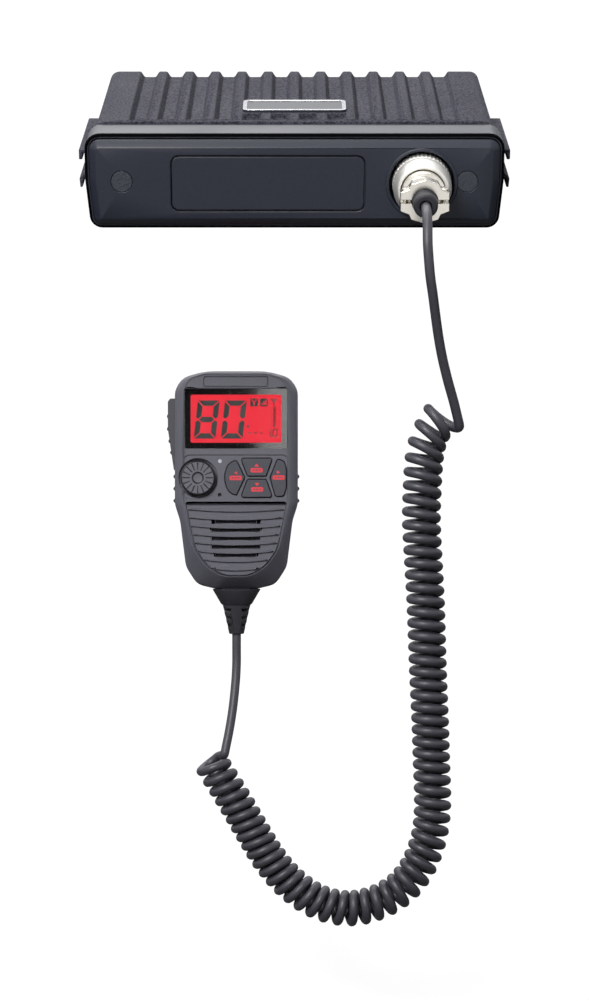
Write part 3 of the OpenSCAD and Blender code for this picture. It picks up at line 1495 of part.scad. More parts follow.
// Turns a loudspeaker piece's profile of radius and depth about its axis
module speaker_turn() {
  in_handset() translate([0, 0, speaker_z]) rotate([-90, 0, 0]) rotate_extrude() children();
}

module speaker_frame() {
  y = cover_wall + 0.5;
  r = speaker_r;
  color("#55565a") speaker_turn() polygon([
    [r, y], [r, y + 1.3], [r - 4, y + 4.5], [3, y + 4.5], [3, y + 3.7], [r - 4.6, y + 3.7],
    [r - 1.5, y + 1.1], [r - 1.5, y]]);
}

module speaker_cone() {
  y = cover_wall + 0.7;
  r = speaker_r - 1.5 - move_gap;
  color("#202023") speaker_turn() polygon([[r, y], [r, y + 0.5], [5, y + 2.6], [0, y + 2], [0, y + 1.5],
    [5, y + 2], [r - 1, y]]);
}

module speaker_magnet() {
  y = cover_wall + 5;
  color("#8b8d92") speaker_turn() polygon([[0, y], [8, y], [8, y + 4], [7.5, y + 4.5], [0, y + 4.5]]);
}

module grille_mesh() {
  y = cover_wall + seat_gap;
  color("#17171a") in_handset() bar([0, speaker_z], speaker_r - 0.5, y, y + 0.4);
}

module mic_capsule() {
  color("#b9bcc0") in_handset() bar(mic_at, mic_r, cover_wall + seat_gap, cover_wall + 2.6);
}

module light_pipe() {
  color("#f2f2ee") in_handset() bar(light_pipe_at, light_pipe_r, 0.4, board2_y);
}

// Stud on the back that hangs in a clip, held by a screw through the cover
module hang_button() {
  h = hang_neck + hang_head;
  color("#2a2a2e") in_handset() translate([0, handset_d, hang_z]) rotate([-90, 0, 0]) {
    rotate_extrude() polygon([[0, -cover_wall - 1.5], [1.2, -cover_wall - 1.5], [1.2, 0], [5.6, 0],
      [5.6, 0.8], [hang_neck_r, 1.2], [hang_neck_r, hang_neck], [hang_r, hang_neck + 0.3],
      [hang_r, h - 0.8], [hang_r - 0.8, h], [2.2, h], [1.8, h - 0.6], [0, h - 0.6]]);
  }
}

// Section of the boot: an oval with flattened sides
function boot_ring(half, z) = [
  for (k = [0:23]) let (c = cos(k * 15), s = sin(k * 15), f = 1 / (abs(c) ^ 3 + abs(s) ^ 3) ^ (1 / 3))
    [half[0] * c * f, boot_y + half[1] * s * f, z]];

// Rubber boot: a root in the foot of the covers, a tapered neck and a notched tail
module cord_boot() {
  neck_z = -foot_z - boot_gap;
  tail_z = neck_z - boot_neck;
  flange_z = cover_wall - foot_z + 0.8;
  bore = cord_r + socket_fit;
  color("#232327") in_handset() difference() {
    union() {
      loft([
        boot_ring(boot_top, neck_z), boot_ring(boot_waist, tail_z),
        boot_ring(boot_tail_top, tail_z - 0.5), boot_ring([boot_tip, boot_tip], boot_tip_z)]);
      block([-boot_root[0], boot_y - boot_root[1], neck_z - 1],
        [boot_root[0], boot_y + boot_root[1], -foot_z + cover_wall + 2]);
      block([-boot_root[0] - 1.5, boot_y - boot_root[1] + 1.2, flange_z],
        [boot_root[0] + 1.5, boot_y + boot_root[1], flange_z + boot_flange]);
    }
    for (i = [0:notch_count - 1], side = [0, 1]) mirror([side, 0, 0]) {
      translate([0, 0, tail_z - 2.6 - i * notch_pitch]) {
        block([notch_x, boot_y - 6, -notch_h / 2], [10, boot_y + 6, notch_h / 2]);
      }
    }
    translate([0, boot_y, boot_tip_z - cut]) cylinder(r = bore, h = boot_sink + cut);
  }
}

chassis();
heatsink_lid();
lid_screws();
fascia();
fascia_screws();
screw_caps();
badge();
main_board();
board_screws();
rf_module();
shield_can();
capacitors();
antenna_socket();
antenna_insert();
antenna_screws();
power_inlet();
power_contacts();
speaker_jack();
mic_socket();
socket_nut();
socket_insert();
socket_pins();
plug_shell();
plug_insert();
coupling_ring();
cable_clamp();
clamp_screws();
plug_grommet();
cord_radio_lead();
cord_curl();
cord_mic_lead();
front_cover();
rear_cover();
cover_seal();
cover_screws();
display_window();
display_panel();
backlight();
handset_board();
key_left();
key_top();
key_bottom();
key_right();
key_mat();
volume_knob();
encoder_shaft();
encoder_rotor();
encoder_body();
ptt_button();
ptt_pin();
ptt_bracket();
ptt_switch();
speaker_frame();
speaker_cone();
speaker_magnet();
grille_mesh();
mic_capsule();
light_pipe();
hang_button();
cord_boot();
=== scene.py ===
from math import cos, exp, pi, radians, sin, tan

import bmesh
import bpy
from mathutils import Matrix, Vector


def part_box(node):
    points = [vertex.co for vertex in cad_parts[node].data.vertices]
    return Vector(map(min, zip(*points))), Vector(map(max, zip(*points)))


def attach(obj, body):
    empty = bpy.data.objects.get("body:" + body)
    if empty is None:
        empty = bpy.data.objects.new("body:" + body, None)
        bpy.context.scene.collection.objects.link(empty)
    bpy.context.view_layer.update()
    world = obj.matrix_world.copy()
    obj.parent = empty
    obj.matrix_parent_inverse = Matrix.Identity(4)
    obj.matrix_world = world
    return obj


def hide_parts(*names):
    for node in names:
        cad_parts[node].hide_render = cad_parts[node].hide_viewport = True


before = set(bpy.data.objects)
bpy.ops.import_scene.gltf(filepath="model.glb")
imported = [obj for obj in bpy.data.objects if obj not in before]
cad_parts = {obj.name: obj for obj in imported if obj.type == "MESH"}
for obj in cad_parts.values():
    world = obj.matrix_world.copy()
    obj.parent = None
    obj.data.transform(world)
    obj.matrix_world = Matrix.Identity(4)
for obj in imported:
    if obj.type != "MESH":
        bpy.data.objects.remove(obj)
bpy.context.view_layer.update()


# Viewpoint
# The radio is seen from in front and 20 degrees above, through a long lens, so that its sides hardly taper.
def placed(name, data):
    """A new object in the scene for a mesh, a lamp or a camera."""
    holder = bpy.data.objects.new(name, data)
    bpy.context.scene.collection.objects.link(holder)
    return holder


camera = placed("camera", bpy.data.cameras.new("camera"))
camera.data.lens = 100.7
camera.data.sensor_width = 36
camera.location = (0, -1.039, 0.2386)
camera.rotation_euler = (radians(70), 0, 0)
bpy.context.scene.camera = camera
bpy.context.scene.view_settings.view_transform = "Standard"

# Curly cord
# One length of round cable in a polyurethane jacket. Its middle is wound on a mandrel and set with heat, so
# that it springs back into curls. One end is clamped in the plug, the other is moulded into the boot.
mm = 0.001
cord_d, cord_sides = 3.5 * mm, 14
plug_x, plug_exit = 46 * mm, -83 * mm
curl_r, curl_turns, first_turn = 5.35 * mm, 63 + 45 / 360, radians(65)
curl_steps, lead_steps, bend_steps = 24 * 63, 60, 14
# The curls stand further apart at the first few turns, by the slack, and in the bight, by the sag.
first_slack, slack_turns = 2 * mm, 1.5
sag, bight_start = 11 * mm, 0.45
# They nod out of the line of sight, and the lead pulls the first few aside.
sight = Vector((0, cos(radians(24)), -sin(radians(24))))
nod, first_nod, first_pull, pull_turns = 1.0, 0.3, 0.42, 2.6
lead_swing = 1.1
radio_lead = [
    (46, -81, 0), (46, -85, 0), (46, -89, 0), (46, -93.5, -1), (46, -97.5, -4), (46, -100.5, -8.5),
    (46.4, -102, -14), (47, -102.5, -20), (48, -102, -26.5), (49, -101, -33.5), (50.2, -100, -41.5),
    (51.8, -99, -50), (54, -98, -59), (56.3, -97, -67.2), (57.6, -96.5, -72.4)]
curl_line = [
    (51.9, -95.1, -72.9), (50.4, -95, -75.8), (48.2, -95, -80.2), (46.9, -95, -85), (46.2, -95, -90),
    (45.8, -94.5, -100), (45.7, -94, -113), (46.7, -93, -129), (47.8, -92, -145), (48.6, -91, -161),
    (49.4, -90, -177), (50.4, -89, -194), (51.2, -88, -211), (52, -87, -228), (51.6, -85, -240.5),
    (49.7, -83, -251), (46.2, -80, -261.5), (40.3, -77, -271), (31.2, -73, -279), (20.4, -68, -283.9),
    (9, -63, -283.6), (-1.6, -58, -278.2), (-9.8, -54, -269.7), (-15.8, -50, -261), (-21.4, -46, -252.3),
    (-26.6, -42, -244.7), (-30.8, -39, -238.8), (-33.1, -37.2, -235.3)]
mic_lead = [
    (-26.7, -34.4, -228.8), (-25.9, -32, -225.4), (-25, -28.7, -221), (-24.2, -25.2, -216),
    (-23.6, -21.8, -211), (-23.2, -19, -206.5), (-23, -16.6, -202), (-23, -14.9, -198),
    (-23, -13.3, -193.57), (-23, -11.8, -189.44)]


def bend(p, p_way, q, q_way, reach, u):
    """Point at share u of the smooth curve from p to q with a direction at each."""
    return ((2 * u**3 - 3 * u**2 + 1) * p + (u**3 - 2 * u**2 + u) * reach * p_way
            + (3 * u**2 - 2 * u**3) * q + (u**3 - u**2) * reach * q_way)


def smooth_line(rows):
    """Length of a smooth line through points in millimetres, and the function that gives its points."""
    points = [Vector(row) * mm for row in rows]
    last = len(points) - 1
    lengths = [0.0]
    for a, b in zip(points, points[1:]):
        lengths.append(lengths[-1] + (b - a).length)

    def slope(i):
        a, b = max(i - 1, 0), min(i + 1, last)
        return (points[b] - points[a]) / (lengths[b] - lengths[a])

    def at(s):
        i = max(j for j in range(last) if j == 0 or s >= lengths[j])
        reach = lengths[i + 1] - lengths[i]
        return bend(points[i], slope(i), points[i + 1], slope(i + 1), reach, (s - lengths[i]) / reach)

    return lengths[-1], at


def way_to(a, b):
    """Direction from one point to another."""
    return (b - a).normalized()


curl_length, curl_middle = smooth_line(curl_line)


def curl_at(turn):
    """Point of the curls after a number of turns."""
    s = (curl_length - first_slack) / curl_turns * turn + first_slack * (1 - exp(-turn / slack_turns))
    bight = max(turn / curl_turns - bight_start, 0) / (1 - bight_start)
    s = min(s + sag * sin(pi * bight) ** 2, curl_length)
    step = 0.5 * mm
    along = way_to(curl_middle(max(s - step, 0)), curl_middle(min(s + step, curl_length)))
    pull = exp(-turn / pull_turns)
    axis = along - (nod + first_nod * pull) * along.dot(sight) * sight - Vector((first_pull * pull, 0, 0))
    axis.normalize()
    front = (Vector((0, -1, 0)) + axis.y * axis).normalized()
    side = front.cross(axis)
    angle = first_turn + 2 * pi * turn
    return curl_middle(s) + curl_r * (cos(angle) * side - sin(angle) * front)


def lead_points(rows):
    """Even points along a straight lead."""
    length, at = smooth_line(rows)
    return [at(length * i / lead_steps) for i in range(lead_steps + 1)]


def run_out(end, way, curl_end, curl_way):
    """The bend from the end of a straight lead into the curls."""
    start = end + cord_d * way
    reach = lead_swing * (curl_end - end).length
    return [bend(start, way, curl_end, curl_way, reach, i / bend_steps) for i in range(bend_steps)]


out_lead, in_lead = lead_points(radio_lead), lead_points(mic_lead)
curls = [curl_at(curl_turns * i / curl_steps) for i in range(curl_steps + 1)]
cord_route = (
    out_lead
    + run_out(out_lead[-1], way_to(out_lead[-2], out_lead[-1]), curls[0], way_to(curls[0], curls[1]))
    + curls
    + run_out(in_lead[0], way_to(in_lead[1], in_lead[0]), curls[-1], way_to(curls[-1], curls[-2]))[::-1]
    + in_lead)


def circle(sides):
    """Cosine and sine of even angles all round."""
    return [(cos(2 * pi * k / sides), sin(2 * pi * k / sides)) for k in range(sides)]


def skinned(name, verts, sides, material, closed=False):
    """A smooth skin over loops of points, with flat ends unless the last loop joins the first."""
    loops = len(verts) // sides
    faces = [(i * sides + k, i * sides + (k + 1) % sides,
              (i + 1) % loops * sides + (k + 1) % sides, (i + 1) % loops * sides + k)
             for i in range(loops if closed else loops - 1) for k in range(sides)]
    if not closed:
        faces += [tuple(range(sides))[::-1], tuple(range(len(verts) - sides, len(verts)))]
    mesh = bpy.data.meshes.new(name)
    mesh.from_pydata(verts, [], faces)
    mesh.materials.append(material)
    mesh.shade_smooth()
    return placed(name, mesh)


def tube(name, route, radius, sides, material):
    """A closed round tube along a route. Its UV map runs round it and along it, in metres."""
    last = len(route) - 1
    ways = [way_to(route[max(i - 1, 0)], route[min(i + 1, last)]) for i in range(len(route))]
    across = ways[0].orthogonal().normalized()
    verts, lengths = [], [0.0]
    for i, (point, way) in enumerate(zip(route, ways)):
        across = (across - way * across.dot(way)).normalized()
        over = way.cross(across)
        verts += [point + radius * (c * across + s * over) for c, s in circle(sides)]
        if i:
            lengths.append(lengths[-1] + (point - route[i - 1]).length)
    piece = skinned(name, verts, sides, material)
    uv = piece.data.uv_layers.new(name="along")
    for face in piece.data.polygons[:-2]:
        ring, k = divmod(face.index, sides)
        for loop, (step, turn) in zip(face.loop_indices, ((0, 0), (0, 1), (1, 1), (1, 0))):
            uv.data[loop].uv = (2 * pi * radius * (k + turn) / sides, lengths[ring + step])
    return piece, lengths[-1]


def rgb(hex_code):
    """Linear colour of an sRGB hex value."""
    parts = [int(hex_code[i:i + 2], 16) / 255 for i in (1, 3, 5)]
    return tuple(c / 12.92 if c <= 0.04045 else ((c + 0.055) / 1.055) ** 2.4 for c in parts) + (1,)


def fill(tree, node, inputs):
    """Sets a node's inputs, or links them. A node stands for its first output, a list for several links."""
    for name, value in inputs.items():
        for source in value if isinstance(value, list) else [value]:
            if isinstance(source, bpy.types.Node):
                source = source.outputs[0]
            if isinstance(source, bpy.types.NodeSocket):
                tree.links.new(source, node.inputs[name])
            else:
                node.inputs[name].default_value = source


def add(tree, kind, inputs=None, **settings):
    """Adds one node with its settings and inputs."""
    node = tree.nodes.new(kind)
    for name, value in settings.items():
        setattr(node, name, value)
    fill(tree, node, inputs or {})
    return node


def new_finish(name, values):
    """A new material with the shader's plain values set, its tree, its shader and its coordinates."""
    material = bpy.data.materials.new(name)
    material.use_nodes = True
    tree = material.node_tree
    shader = tree.nodes["Principled BSDF"]
    fill(tree, shader, values)
    return material, tree, shader, add(tree, "ShaderNodeTexCoord").outputs


def drive(tree, shader, tone=None, gloss=None, relief=None, toned="Base Color"):
    """Lets nodes drive a finish. Tone: source and two colours. Gloss: source, the two ends of its range and
    the roughness at these. Relief: source, strength and height in millimetres."""
    if tone:
        source, dark, light = tone
        mix = add(tree, "ShaderNodeMix", {0: source, 6: rgb(dark), 7: rgb(light)}, data_type="RGBA")
        fill(tree, shader, {toned: mix.outputs[2]})
    if gloss:
        rough = add(tree, "ShaderNodeMapRange", dict(enumerate(gloss)))
        fill(tree, shader, {"Roughness": rough})
    if relief:
        source, strength, height = relief
        bumps = add(tree, "ShaderNodeBump", {"Height": source, "Strength": strength, "Distance": height * mm})
        fill(tree, shader, {"Normal": bumps})


# Polyurethane, extruded and drawn to size: satin, with faint lines along its length and a little bloom that
# makes the gloss uneven. The lines are 0.5 mm apart, coarser than real ones, to show at all.
jacket, tree, shader, place = new_finish("extruded_polyurethane", {"IOR": 1.5, "Specular IOR Level": 0.65})
stretch = add(tree, "ShaderNodeMapping",
              {"Vector": place["UV"], "Scale": (1 / (0.5 * mm), 1 / (9 * mm), 1)})
lines = add(tree, "ShaderNodeTexNoise", {"Vector": stretch, "Scale": 1.0, "Detail": 2})
bloom = add(tree, "ShaderNodeTexNoise", {"Vector": place["Object"], "Scale": 1 / (7 * mm), "Detail": 3})
drive(tree, shader, (bloom, "#303037", "#3d3d46"), (bloom, 0.3, 0.7, 0.44, 0.54), (lines, 0.25, 0.05))

curly_cord, cord_length = tube("curly_cord", cord_route, cord_d / 2, cord_sides, jacket)
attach(curly_cord, "radio_and_handset")
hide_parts("cord_radio_lead", "cord_curl", "cord_mic_lead")


# Lower case and lid
# Two pressure castings in aluminium alloy, screwed together from below. The lid is the heatsink: its ribs run
# from front to back. Both are blasted and powder-coated, the hooked side rails too.
def dressed(node_name, name, edge, material, body="radio_and_handset", angle=32, rework=None):
    """A copy of a CAD node with its sharp edges eased by some of a millimetre, as all real ones are."""
    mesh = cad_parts[node_name].data.copy()
    mesh.name = name
    mesh.materials.clear()
    mesh.materials.append(material)
    form = bmesh.new()
    form.from_mesh(mesh)
    bmesh.ops.remove_doubles(form, verts=form.verts, dist=1e-6)
    if rework:
        rework(form)
    form.to_mesh(mesh)
    form.free()
    if "custom_normal" in mesh.attributes:
        mesh.attributes.remove(mesh.attributes["custom_normal"])
    mesh.shade_smooth()
    piece = placed(name, mesh)
    ease = piece.modifiers.new("eased_edges", "BEVEL")
    ease.width = edge * mm
    ease.segments = 2
    ease.limit_method = "ANGLE"
    ease.angle_limit = radians(angle)
    ease.use_clamp_overlap = False
    ease.loop_slide = False
    ease.harden_normals = True
    as_plain_mesh(piece)
    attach(piece, body)
    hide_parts(node_name)
    return piece


def as_plain_mesh(piece):
    """Turns what the modifiers make into the piece's own mesh."""
    bpy.context.view_layer.update()
    made = bpy.data.meshes.new_from_object(piece.evaluated_get(bpy.context.evaluated_depsgraph_get()))
    made.name = piece.name
    piece.modifiers.clear()
    piece.data = made


# Powder coat over blasted aluminium: dull charcoal that breaks into light and dark specks, drawn at 0.8 mm to
# show, with an orange-peel skin that scatters the highlights.
coat, tree, shader, place = new_finish("powder_coated_cast_aluminium", {"IOR": 1.1})
specks = add(tree, "ShaderNodeTexNoise",
             {"Vector": place["Object"], "Scale": 1 / (0.8 * mm), "Detail": 2, "Roughness": 0.6})
drift = add(tree, "ShaderNodeTexNoise", {"Vector": place["Object"], "Scale": 1 / (30 * mm), "Detail": 2})
contrast = add(tree, "ShaderNodeMapRange", {0: specks, 1: 0.36, 2: 0.64})
drive(tree, shader, (contrast, "#2c2c33", "#565660"), (drift, 0.3, 0.7, 0.6, 0.72), (specks, 0.55, 0.12))

dressed("chassis", "lower_case", 0.35, coat)
dressed("heatsink_lid", "ribbed_lid", 0.4, coat)


# Screws
# Pan-head steel screws, headed and thread-rolled from wire, zinc-plated. Each has a cross recess for the
# driver.
def solids_of(node_name, place=Matrix()):
    """Lowest and highest corner of each separate solid of a CAD node, in a place's own axes."""
    form = bmesh.new()
    form.from_mesh(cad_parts[node_name].data)
    bmesh.ops.remove_doubles(form, verts=form.verts, dist=1e-6)
    form.transform(place.inverted())
    left, boxes = set(form.verts), []
    while left:
        found, edge = set(), [left.pop()]
        while edge:
            vert = edge.pop()
            found.add(vert)
            near = {e.other_vert(vert) for e in vert.link_edges} & left
            left -= near
            edge += near
        boxes.append((Vector(min(v.co[i] for v in found) for i in range(3)),
                      Vector(max(v.co[i] for v in found) for i in range(3))))
    form.free()
    return boxes


def start_tree(name, **kinds):
    """A Geometry Nodes tree with its named inputs, and the sockets that hand these on."""
    tree = bpy.data.node_groups.new(name, "GeometryNodeTree")
    for socket, kind in {"Geometry": "Geometry", **kinds}.items():
        tree.interface.new_socket(
            socket.replace("_", " "), in_out="INPUT", socket_type="NodeSocket" + kind)
    tree.interface.new_socket("Geometry", in_out="OUTPUT", socket_type="NodeSocketGeometry")
    return tree, add(tree, "NodeGroupInput").outputs


def end_tree(tree, shape, points, turn, finish):
    """Puts the shape on the points, makes it real and gives it its material."""
    spread = add(tree, "GeometryNodeInstanceOnPoints",
                 {"Points": points, "Instance": shape, "Rotation": turn})
    real = add(tree, "GeometryNodeRealizeInstances", {"Geometry": spread})
    dressed_up = add(tree, "GeometryNodeSetMaterial", {"Geometry": real, "Material": finish})
    add(tree, "NodeGroupOutput", {"Geometry": dressed_up})
    return tree


tree, given = start_tree(
    "cross_recess_screws", Head_radius="Float", Head_height="Float", Shank_radius="Float",
    Shank_length="Float", Recess="Float", Turn="Rotation", Plating="Material")
rim = add(tree, "ShaderNodeMath", {0: given["Head height"], 1: 0.45}, operation="MULTIPLY")
crown = add(tree, "ShaderNodeMath", {0: given["Head radius"], 1: 0.72}, operation="MULTIPLY")
dome_height = add(tree, "ShaderNodeMath", {0: given["Head height"], 1: rim}, operation="SUBTRACT")
wall = add(tree, "GeometryNodeMeshCylinder", {"Vertices": 28, "Radius": given["Head radius"], "Depth": rim})
half_rim = add(tree, "ShaderNodeMath", {0: rim, 1: 0.5}, operation="MULTIPLY")
wall_up = add(tree, "ShaderNodeCombineXYZ", {"Z": half_rim})
wall = add(tree, "GeometryNodeTransform", {"Geometry": wall, "Translation": wall_up})
dome = add(tree, "GeometryNodeMeshCone",
           {"Vertices": 28, "Radius Bottom": given["Head radius"], "Radius Top": crown,
            "Depth": dome_height})
dome_up = add(tree, "ShaderNodeCombineXYZ", {"Z": rim})
dome = add(tree, "GeometryNodeTransform", {"Geometry": dome, "Translation": dome_up})
arm = add(tree, "ShaderNodeMath", {0: given["Recess"], 1: 4.2}, operation="MULTIPLY")
deep = add(tree, "ShaderNodeMath", {0: given["Head height"], 1: 1.2}, operation="MULTIPLY")
cut_a = add(tree, "ShaderNodeCombineXYZ", {"X": arm, "Y": given["Recess"], "Z": deep})
cut_b = add(tree, "ShaderNodeCombineXYZ", {"X": given["Recess"], "Y": arm, "Z": deep})
cut_up = add(tree, "ShaderNodeCombineXYZ", {"Z": given["Head height"]})
cutters = [add(tree, "GeometryNodeTransform",
               {"Geometry": add(tree, "GeometryNodeMeshCube", {"Size": size}),
                "Translation": cut_up}) for size in (cut_a, cut_b)]
head = add(tree, "GeometryNodeMeshBoolean", {"Mesh 2": [wall, dome]},
           operation="UNION", solver="EXACT")
recess = add(tree, "GeometryNodeMeshBoolean", {"Mesh 1": head, "Mesh 2": cutters},
             operation="DIFFERENCE", solver="EXACT")
shank = add(tree, "GeometryNodeMeshCylinder",
            {"Vertices": 16, "Radius": given["Shank radius"], "Depth": given["Shank length"]})
half_shank = add(tree, "ShaderNodeMath", {0: given["Shank length"], 1: -0.5}, operation="MULTIPLY")
shank_down = add(tree, "ShaderNodeCombineXYZ", {"Z": half_shank})
shank = add(tree, "GeometryNodeTransform", {"Geometry": shank, "Translation": shank_down})
whole = add(tree, "GeometryNodeJoinGeometry", {"Geometry": [recess, shank]})
screw_tree = end_tree(tree, whole, given["Geometry"], given["Turn"], given["Plating"])


def grown(name, points, tree, values):
    """A piece that a Geometry Nodes tree makes on a set of points, as a plain mesh."""
    mesh = bpy.data.meshes.new(name)
    mesh.from_pydata(points, [], [])
    piece = placed(name, mesh)
    maker = piece.modifiers.new(tree.name, "NODES")
    maker.node_group = tree
    for socket in tree.interface.items_tree:
        if socket.in_out == "INPUT" and socket.name in values:
            maker[socket.identifier] = values[socket.name]
    as_plain_mesh(piece)
    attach(piece, "radio_and_handset")
    return piece


shank_share, recess_share = 0.52, 0.26


def screws(node_name, name, axis, head_height, material, place=Matrix()):
    """Screws in the place of a CAD node's. Axis is the way out of the head, in the place's own axes."""
    way = Vector(axis)
    long = max(range(3), key=lambda i: abs(way[i]))
    seats, head_r, length = [], 0, 0
    for low, high in solids_of(node_name, place):
        seat = (low + high) / 2
        seat[long] = high[long] - head_height if way[long] > 0 else low[long] + head_height
        seats.append(place @ seat)
        head_r = max(high[i] - low[i] for i in range(3) if i != long) / 2
        length = high[long] - low[long] - head_height
    turn = (place.to_3x3() @ way).to_track_quat("Z", "Y").to_euler()
    piece = grown(name, seats, screw_tree, {
        "Head radius": head_r, "Head height": head_height, "Shank radius": shank_share * head_r,
        "Shank length": length, "Recess": recess_share * head_r, "Turn": turn, "Plating": material})
    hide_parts(node_name)


def mottled(name, values, grain, detail=2, tones=None, gloss=None, relief=None, flow=None, spread=(0, 1),
            toned="Base Color"):
    """A finish whose tone, gloss and relief follow a noise of grain millimetres. With flow, the gloss follows
    a wider noise. Relief is a strength and a height in millimetres."""
    finish, tree, shader, place = new_finish(name, values)
    noise = add(tree, "ShaderNodeTexNoise",
                {"Vector": place["Object"], "Scale": 1 / (grain * mm), "Detail": detail})
    wide = noise
    if flow:
        wide = add(tree, "ShaderNodeTexNoise", {"Vector": place["Object"], "Scale": 1 / (flow * mm)})
    drive(tree, shader, tones and (noise, *tones), gloss and (wide, *spread, *gloss),
          relief and (noise, *relief), toned)
    return finish


# Zinc plate on steel: a grey metal with a faint blue-yellow cast and a soft, slightly blotched gloss.
zinc = mottled("zinc_plated_steel", {"Metallic": 1.0}, grain=1.5, detail=3,
               tones=("#8d8f96", "#bdb9ae"), gloss=(0.28, 0.46))

screws("lid_screws", "case_screws", (0, 0, -1), 1.6 * mm, zinc)

# Front panel
# A deep cover moulded in ABS, with a rounded rim, a bevel, a flat face with a bare framed field and a well
# for the connector. Two screws under round caps hold it to the case.

# Moulded ABS from a finely etched mould: blue-black, even and matt, with a satin sheen at a flat angle. The
# etched grain is drawn at 0.7 mm, coarser than it is, to show at all.
panel_plastic = mottled(
    "moulded_abs_blue_black", {"IOR": 1.53, "Specular IOR Level": 0.35}, grain=0.7, detail=3, flow=45,
    tones=("#1f222c", "#292d3a"), gloss=(0.4, 0.48), spread=(0.3, 0.7), relief=(0.2, 0.05))

# The line round the rim: a deep slit left by a sharp rib of the mould, whose walls are painted near black as
# painted shade of the gap.
slit_painted_shade = mottled("painted_shade_slit", {"IOR": 1.2, "Roughness": 0.9, "Specular IOR Level": 0.1},
                       grain=0.5, tones=("#020203", "#060608"))
low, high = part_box("fascia")
slit_shade_front, slit_shade_back, slit_shade_step = 2.65 * mm, 4.65 * mm, 0.2 * mm
face_half_x, face_half_z = 70 * mm, 15 * mm


def paint_slit_shade(form):
    """Gives the walls of the slit, which lie round the face and run backwards, the second material: painted
    shade.
    """
    for face in form.faces:
        depths = [vert.co.y - low.y for vert in face.verts]
        front, back = min(depths), max(depths)
        at_rim = all(abs(vert.co.x) > face_half_x or abs(vert.co.z) > face_half_z for vert in face.verts)
        if at_rim and front > slit_shade_front and back < slit_shade_back and back - front > slit_shade_step:
            face.material_index = 1


front_panel = dressed("fascia", "front_panel", 0.3, panel_plastic, rework=paint_slit_shade)
front_panel.data.materials.append(slit_painted_shade)

# The collar that the mould leaves round the well: radius and height of its section, in millimetres
section = [(11.85, -1.2), (11.85, 0.25), (12.0, 0.5), (12.5, 0.6), (12.95, 0.5), (13.1, 0.2), (13.1, -0.6)]
well = Vector((plug_x, low.y, 0))
collar = skinned(
    "well_collar", [well + mm * Vector((r * c, -h, r * s)) for c, s in circle(72) for r, h in section],
    len(section), panel_plastic, closed=True)
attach(collar, "radio_and_handset")
screws("fascia_screws", "panel_screws", (0, -1, 0), 1.8 * mm, zinc)

# Caps over the panel's screws: the same plastic from a coarsely eroded mould, which leaves grains of about a
# millimetre that look lighter than the face.
cap_plastic, tree, shader, place = new_finish(
    "moulded_abs_coarse", {"IOR": 1.53, "Specular IOR Level": 0.5, "Roughness": 0.55})
pits = add(tree, "ShaderNodeTexVoronoi", {"Vector": place["Object"], "Scale": 1 / (0.9 * mm)})
drive(tree, shader, (pits, "#3a3e48", "#262932"), relief=(pits, 0.8, 0.15))
dressed("screw_caps", "panel_screw_caps", 0.2, cap_plastic)

# Bare plate on the lid
# A zinc die-casting, chromed all over, then brushed in the sunk field so that only the border stays bright.
# It is glued to the raised pad of the lid.
low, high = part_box("badge")

# Chrome on zinc: a bright mirror on the border, and a dark field with fine strokes from left to right. The
# height tells the two apart.
chrome, tree, shader, place = new_finish("chromed_die_cast_zinc", {"Specular IOR Level": 0.3})
height = add(tree, "ShaderNodeSeparateXYZ", {0: place["Object"]})
sunk = add(tree, "ShaderNodeMapRange", {0: height.outputs["Z"], 1: high.z - 0.22 * mm, 2: high.z - 0.1 * mm})
stretch = add(tree, "ShaderNodeMapping",
              {"Vector": place["Object"], "Scale": (1 / (14 * mm), 1 / (0.3 * mm), 1 / (0.3 * mm))})
strokes = add(tree, "ShaderNodeTexNoise", {"Vector": stretch, "Scale": 1.0, "Detail": 3})
field = add(tree, "ShaderNodeMix", {0: strokes, 6: rgb("#22242b"), 7: rgb("#3a3d45")}, data_type="RGBA")
tone = add(tree, "ShaderNodeMix", {0: sunk, 6: field.outputs[2], 7: rgb("#c6c8ce")}, data_type="RGBA")
gloss = add(tree, "ShaderNodeMapRange", {0: sunk, 3: 0.42, 4: 0.16})
fill(tree, shader, {"Metallic": sunk, "Base Color": tone.outputs[2], "Roughness": gloss})
dressed("badge", "bare_plate", 0.15, chrome)


# Boards and modules inside the case
# A glass-epoxy board carries the transmitter module, a tinned can and the storage capacitors. Screws hold it
# to the standoffs of the lower case.
def finish_nodes(material, *names):
    """Gives CAD nodes whose shape is right their finish."""
    for name in names:
        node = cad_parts[name]
        node.data.materials.clear()
        node.data.materials.append(material)


# Solder mask over copper: glossy green, lighter where a track runs beneath, in steps of about 2 mm.
board_mask, tree, shader, place = new_finish("glass_epoxy_green_mask", {"Roughness": 0.3, "IOR": 1.5})
tracks = add(tree, "ShaderNodeTexBrick",
             {"Vector": place["Object"], "Scale": 1 / (4 * mm), "Color1": rgb("#0f4a2a"),
              "Color2": rgb("#17663b"), "Mortar": rgb("#0a3a20")})
fill(tree, shader, {"Base Color": tracks})
finish_nodes(board_mask, "main_board", "handset_board")

# Tinned sheet steel: pale grey, rolled in one direction.
tin, tree, shader, place = new_finish("tinned_sheet_steel", {"Metallic": 1.0, "Base Color": rgb("#c9cbcd")})
rolled = add(tree, "ShaderNodeMapping",
             {"Vector": place["Object"], "Scale": (1 / (8 * mm), 1 / (0.5 * mm), 1 / (0.5 * mm))})
streaks = add(tree, "ShaderNodeTexNoise", {"Vector": rolled, "Scale": 1.0})
drive(tree, shader, gloss=(streaks, 0, 1, 0.25, 0.5))
finish_nodes(tin, "shield_can", "ptt_bracket", "ptt_pin", "speaker_frame")
finish_nodes(zinc, "board_screws", "speaker_magnet")

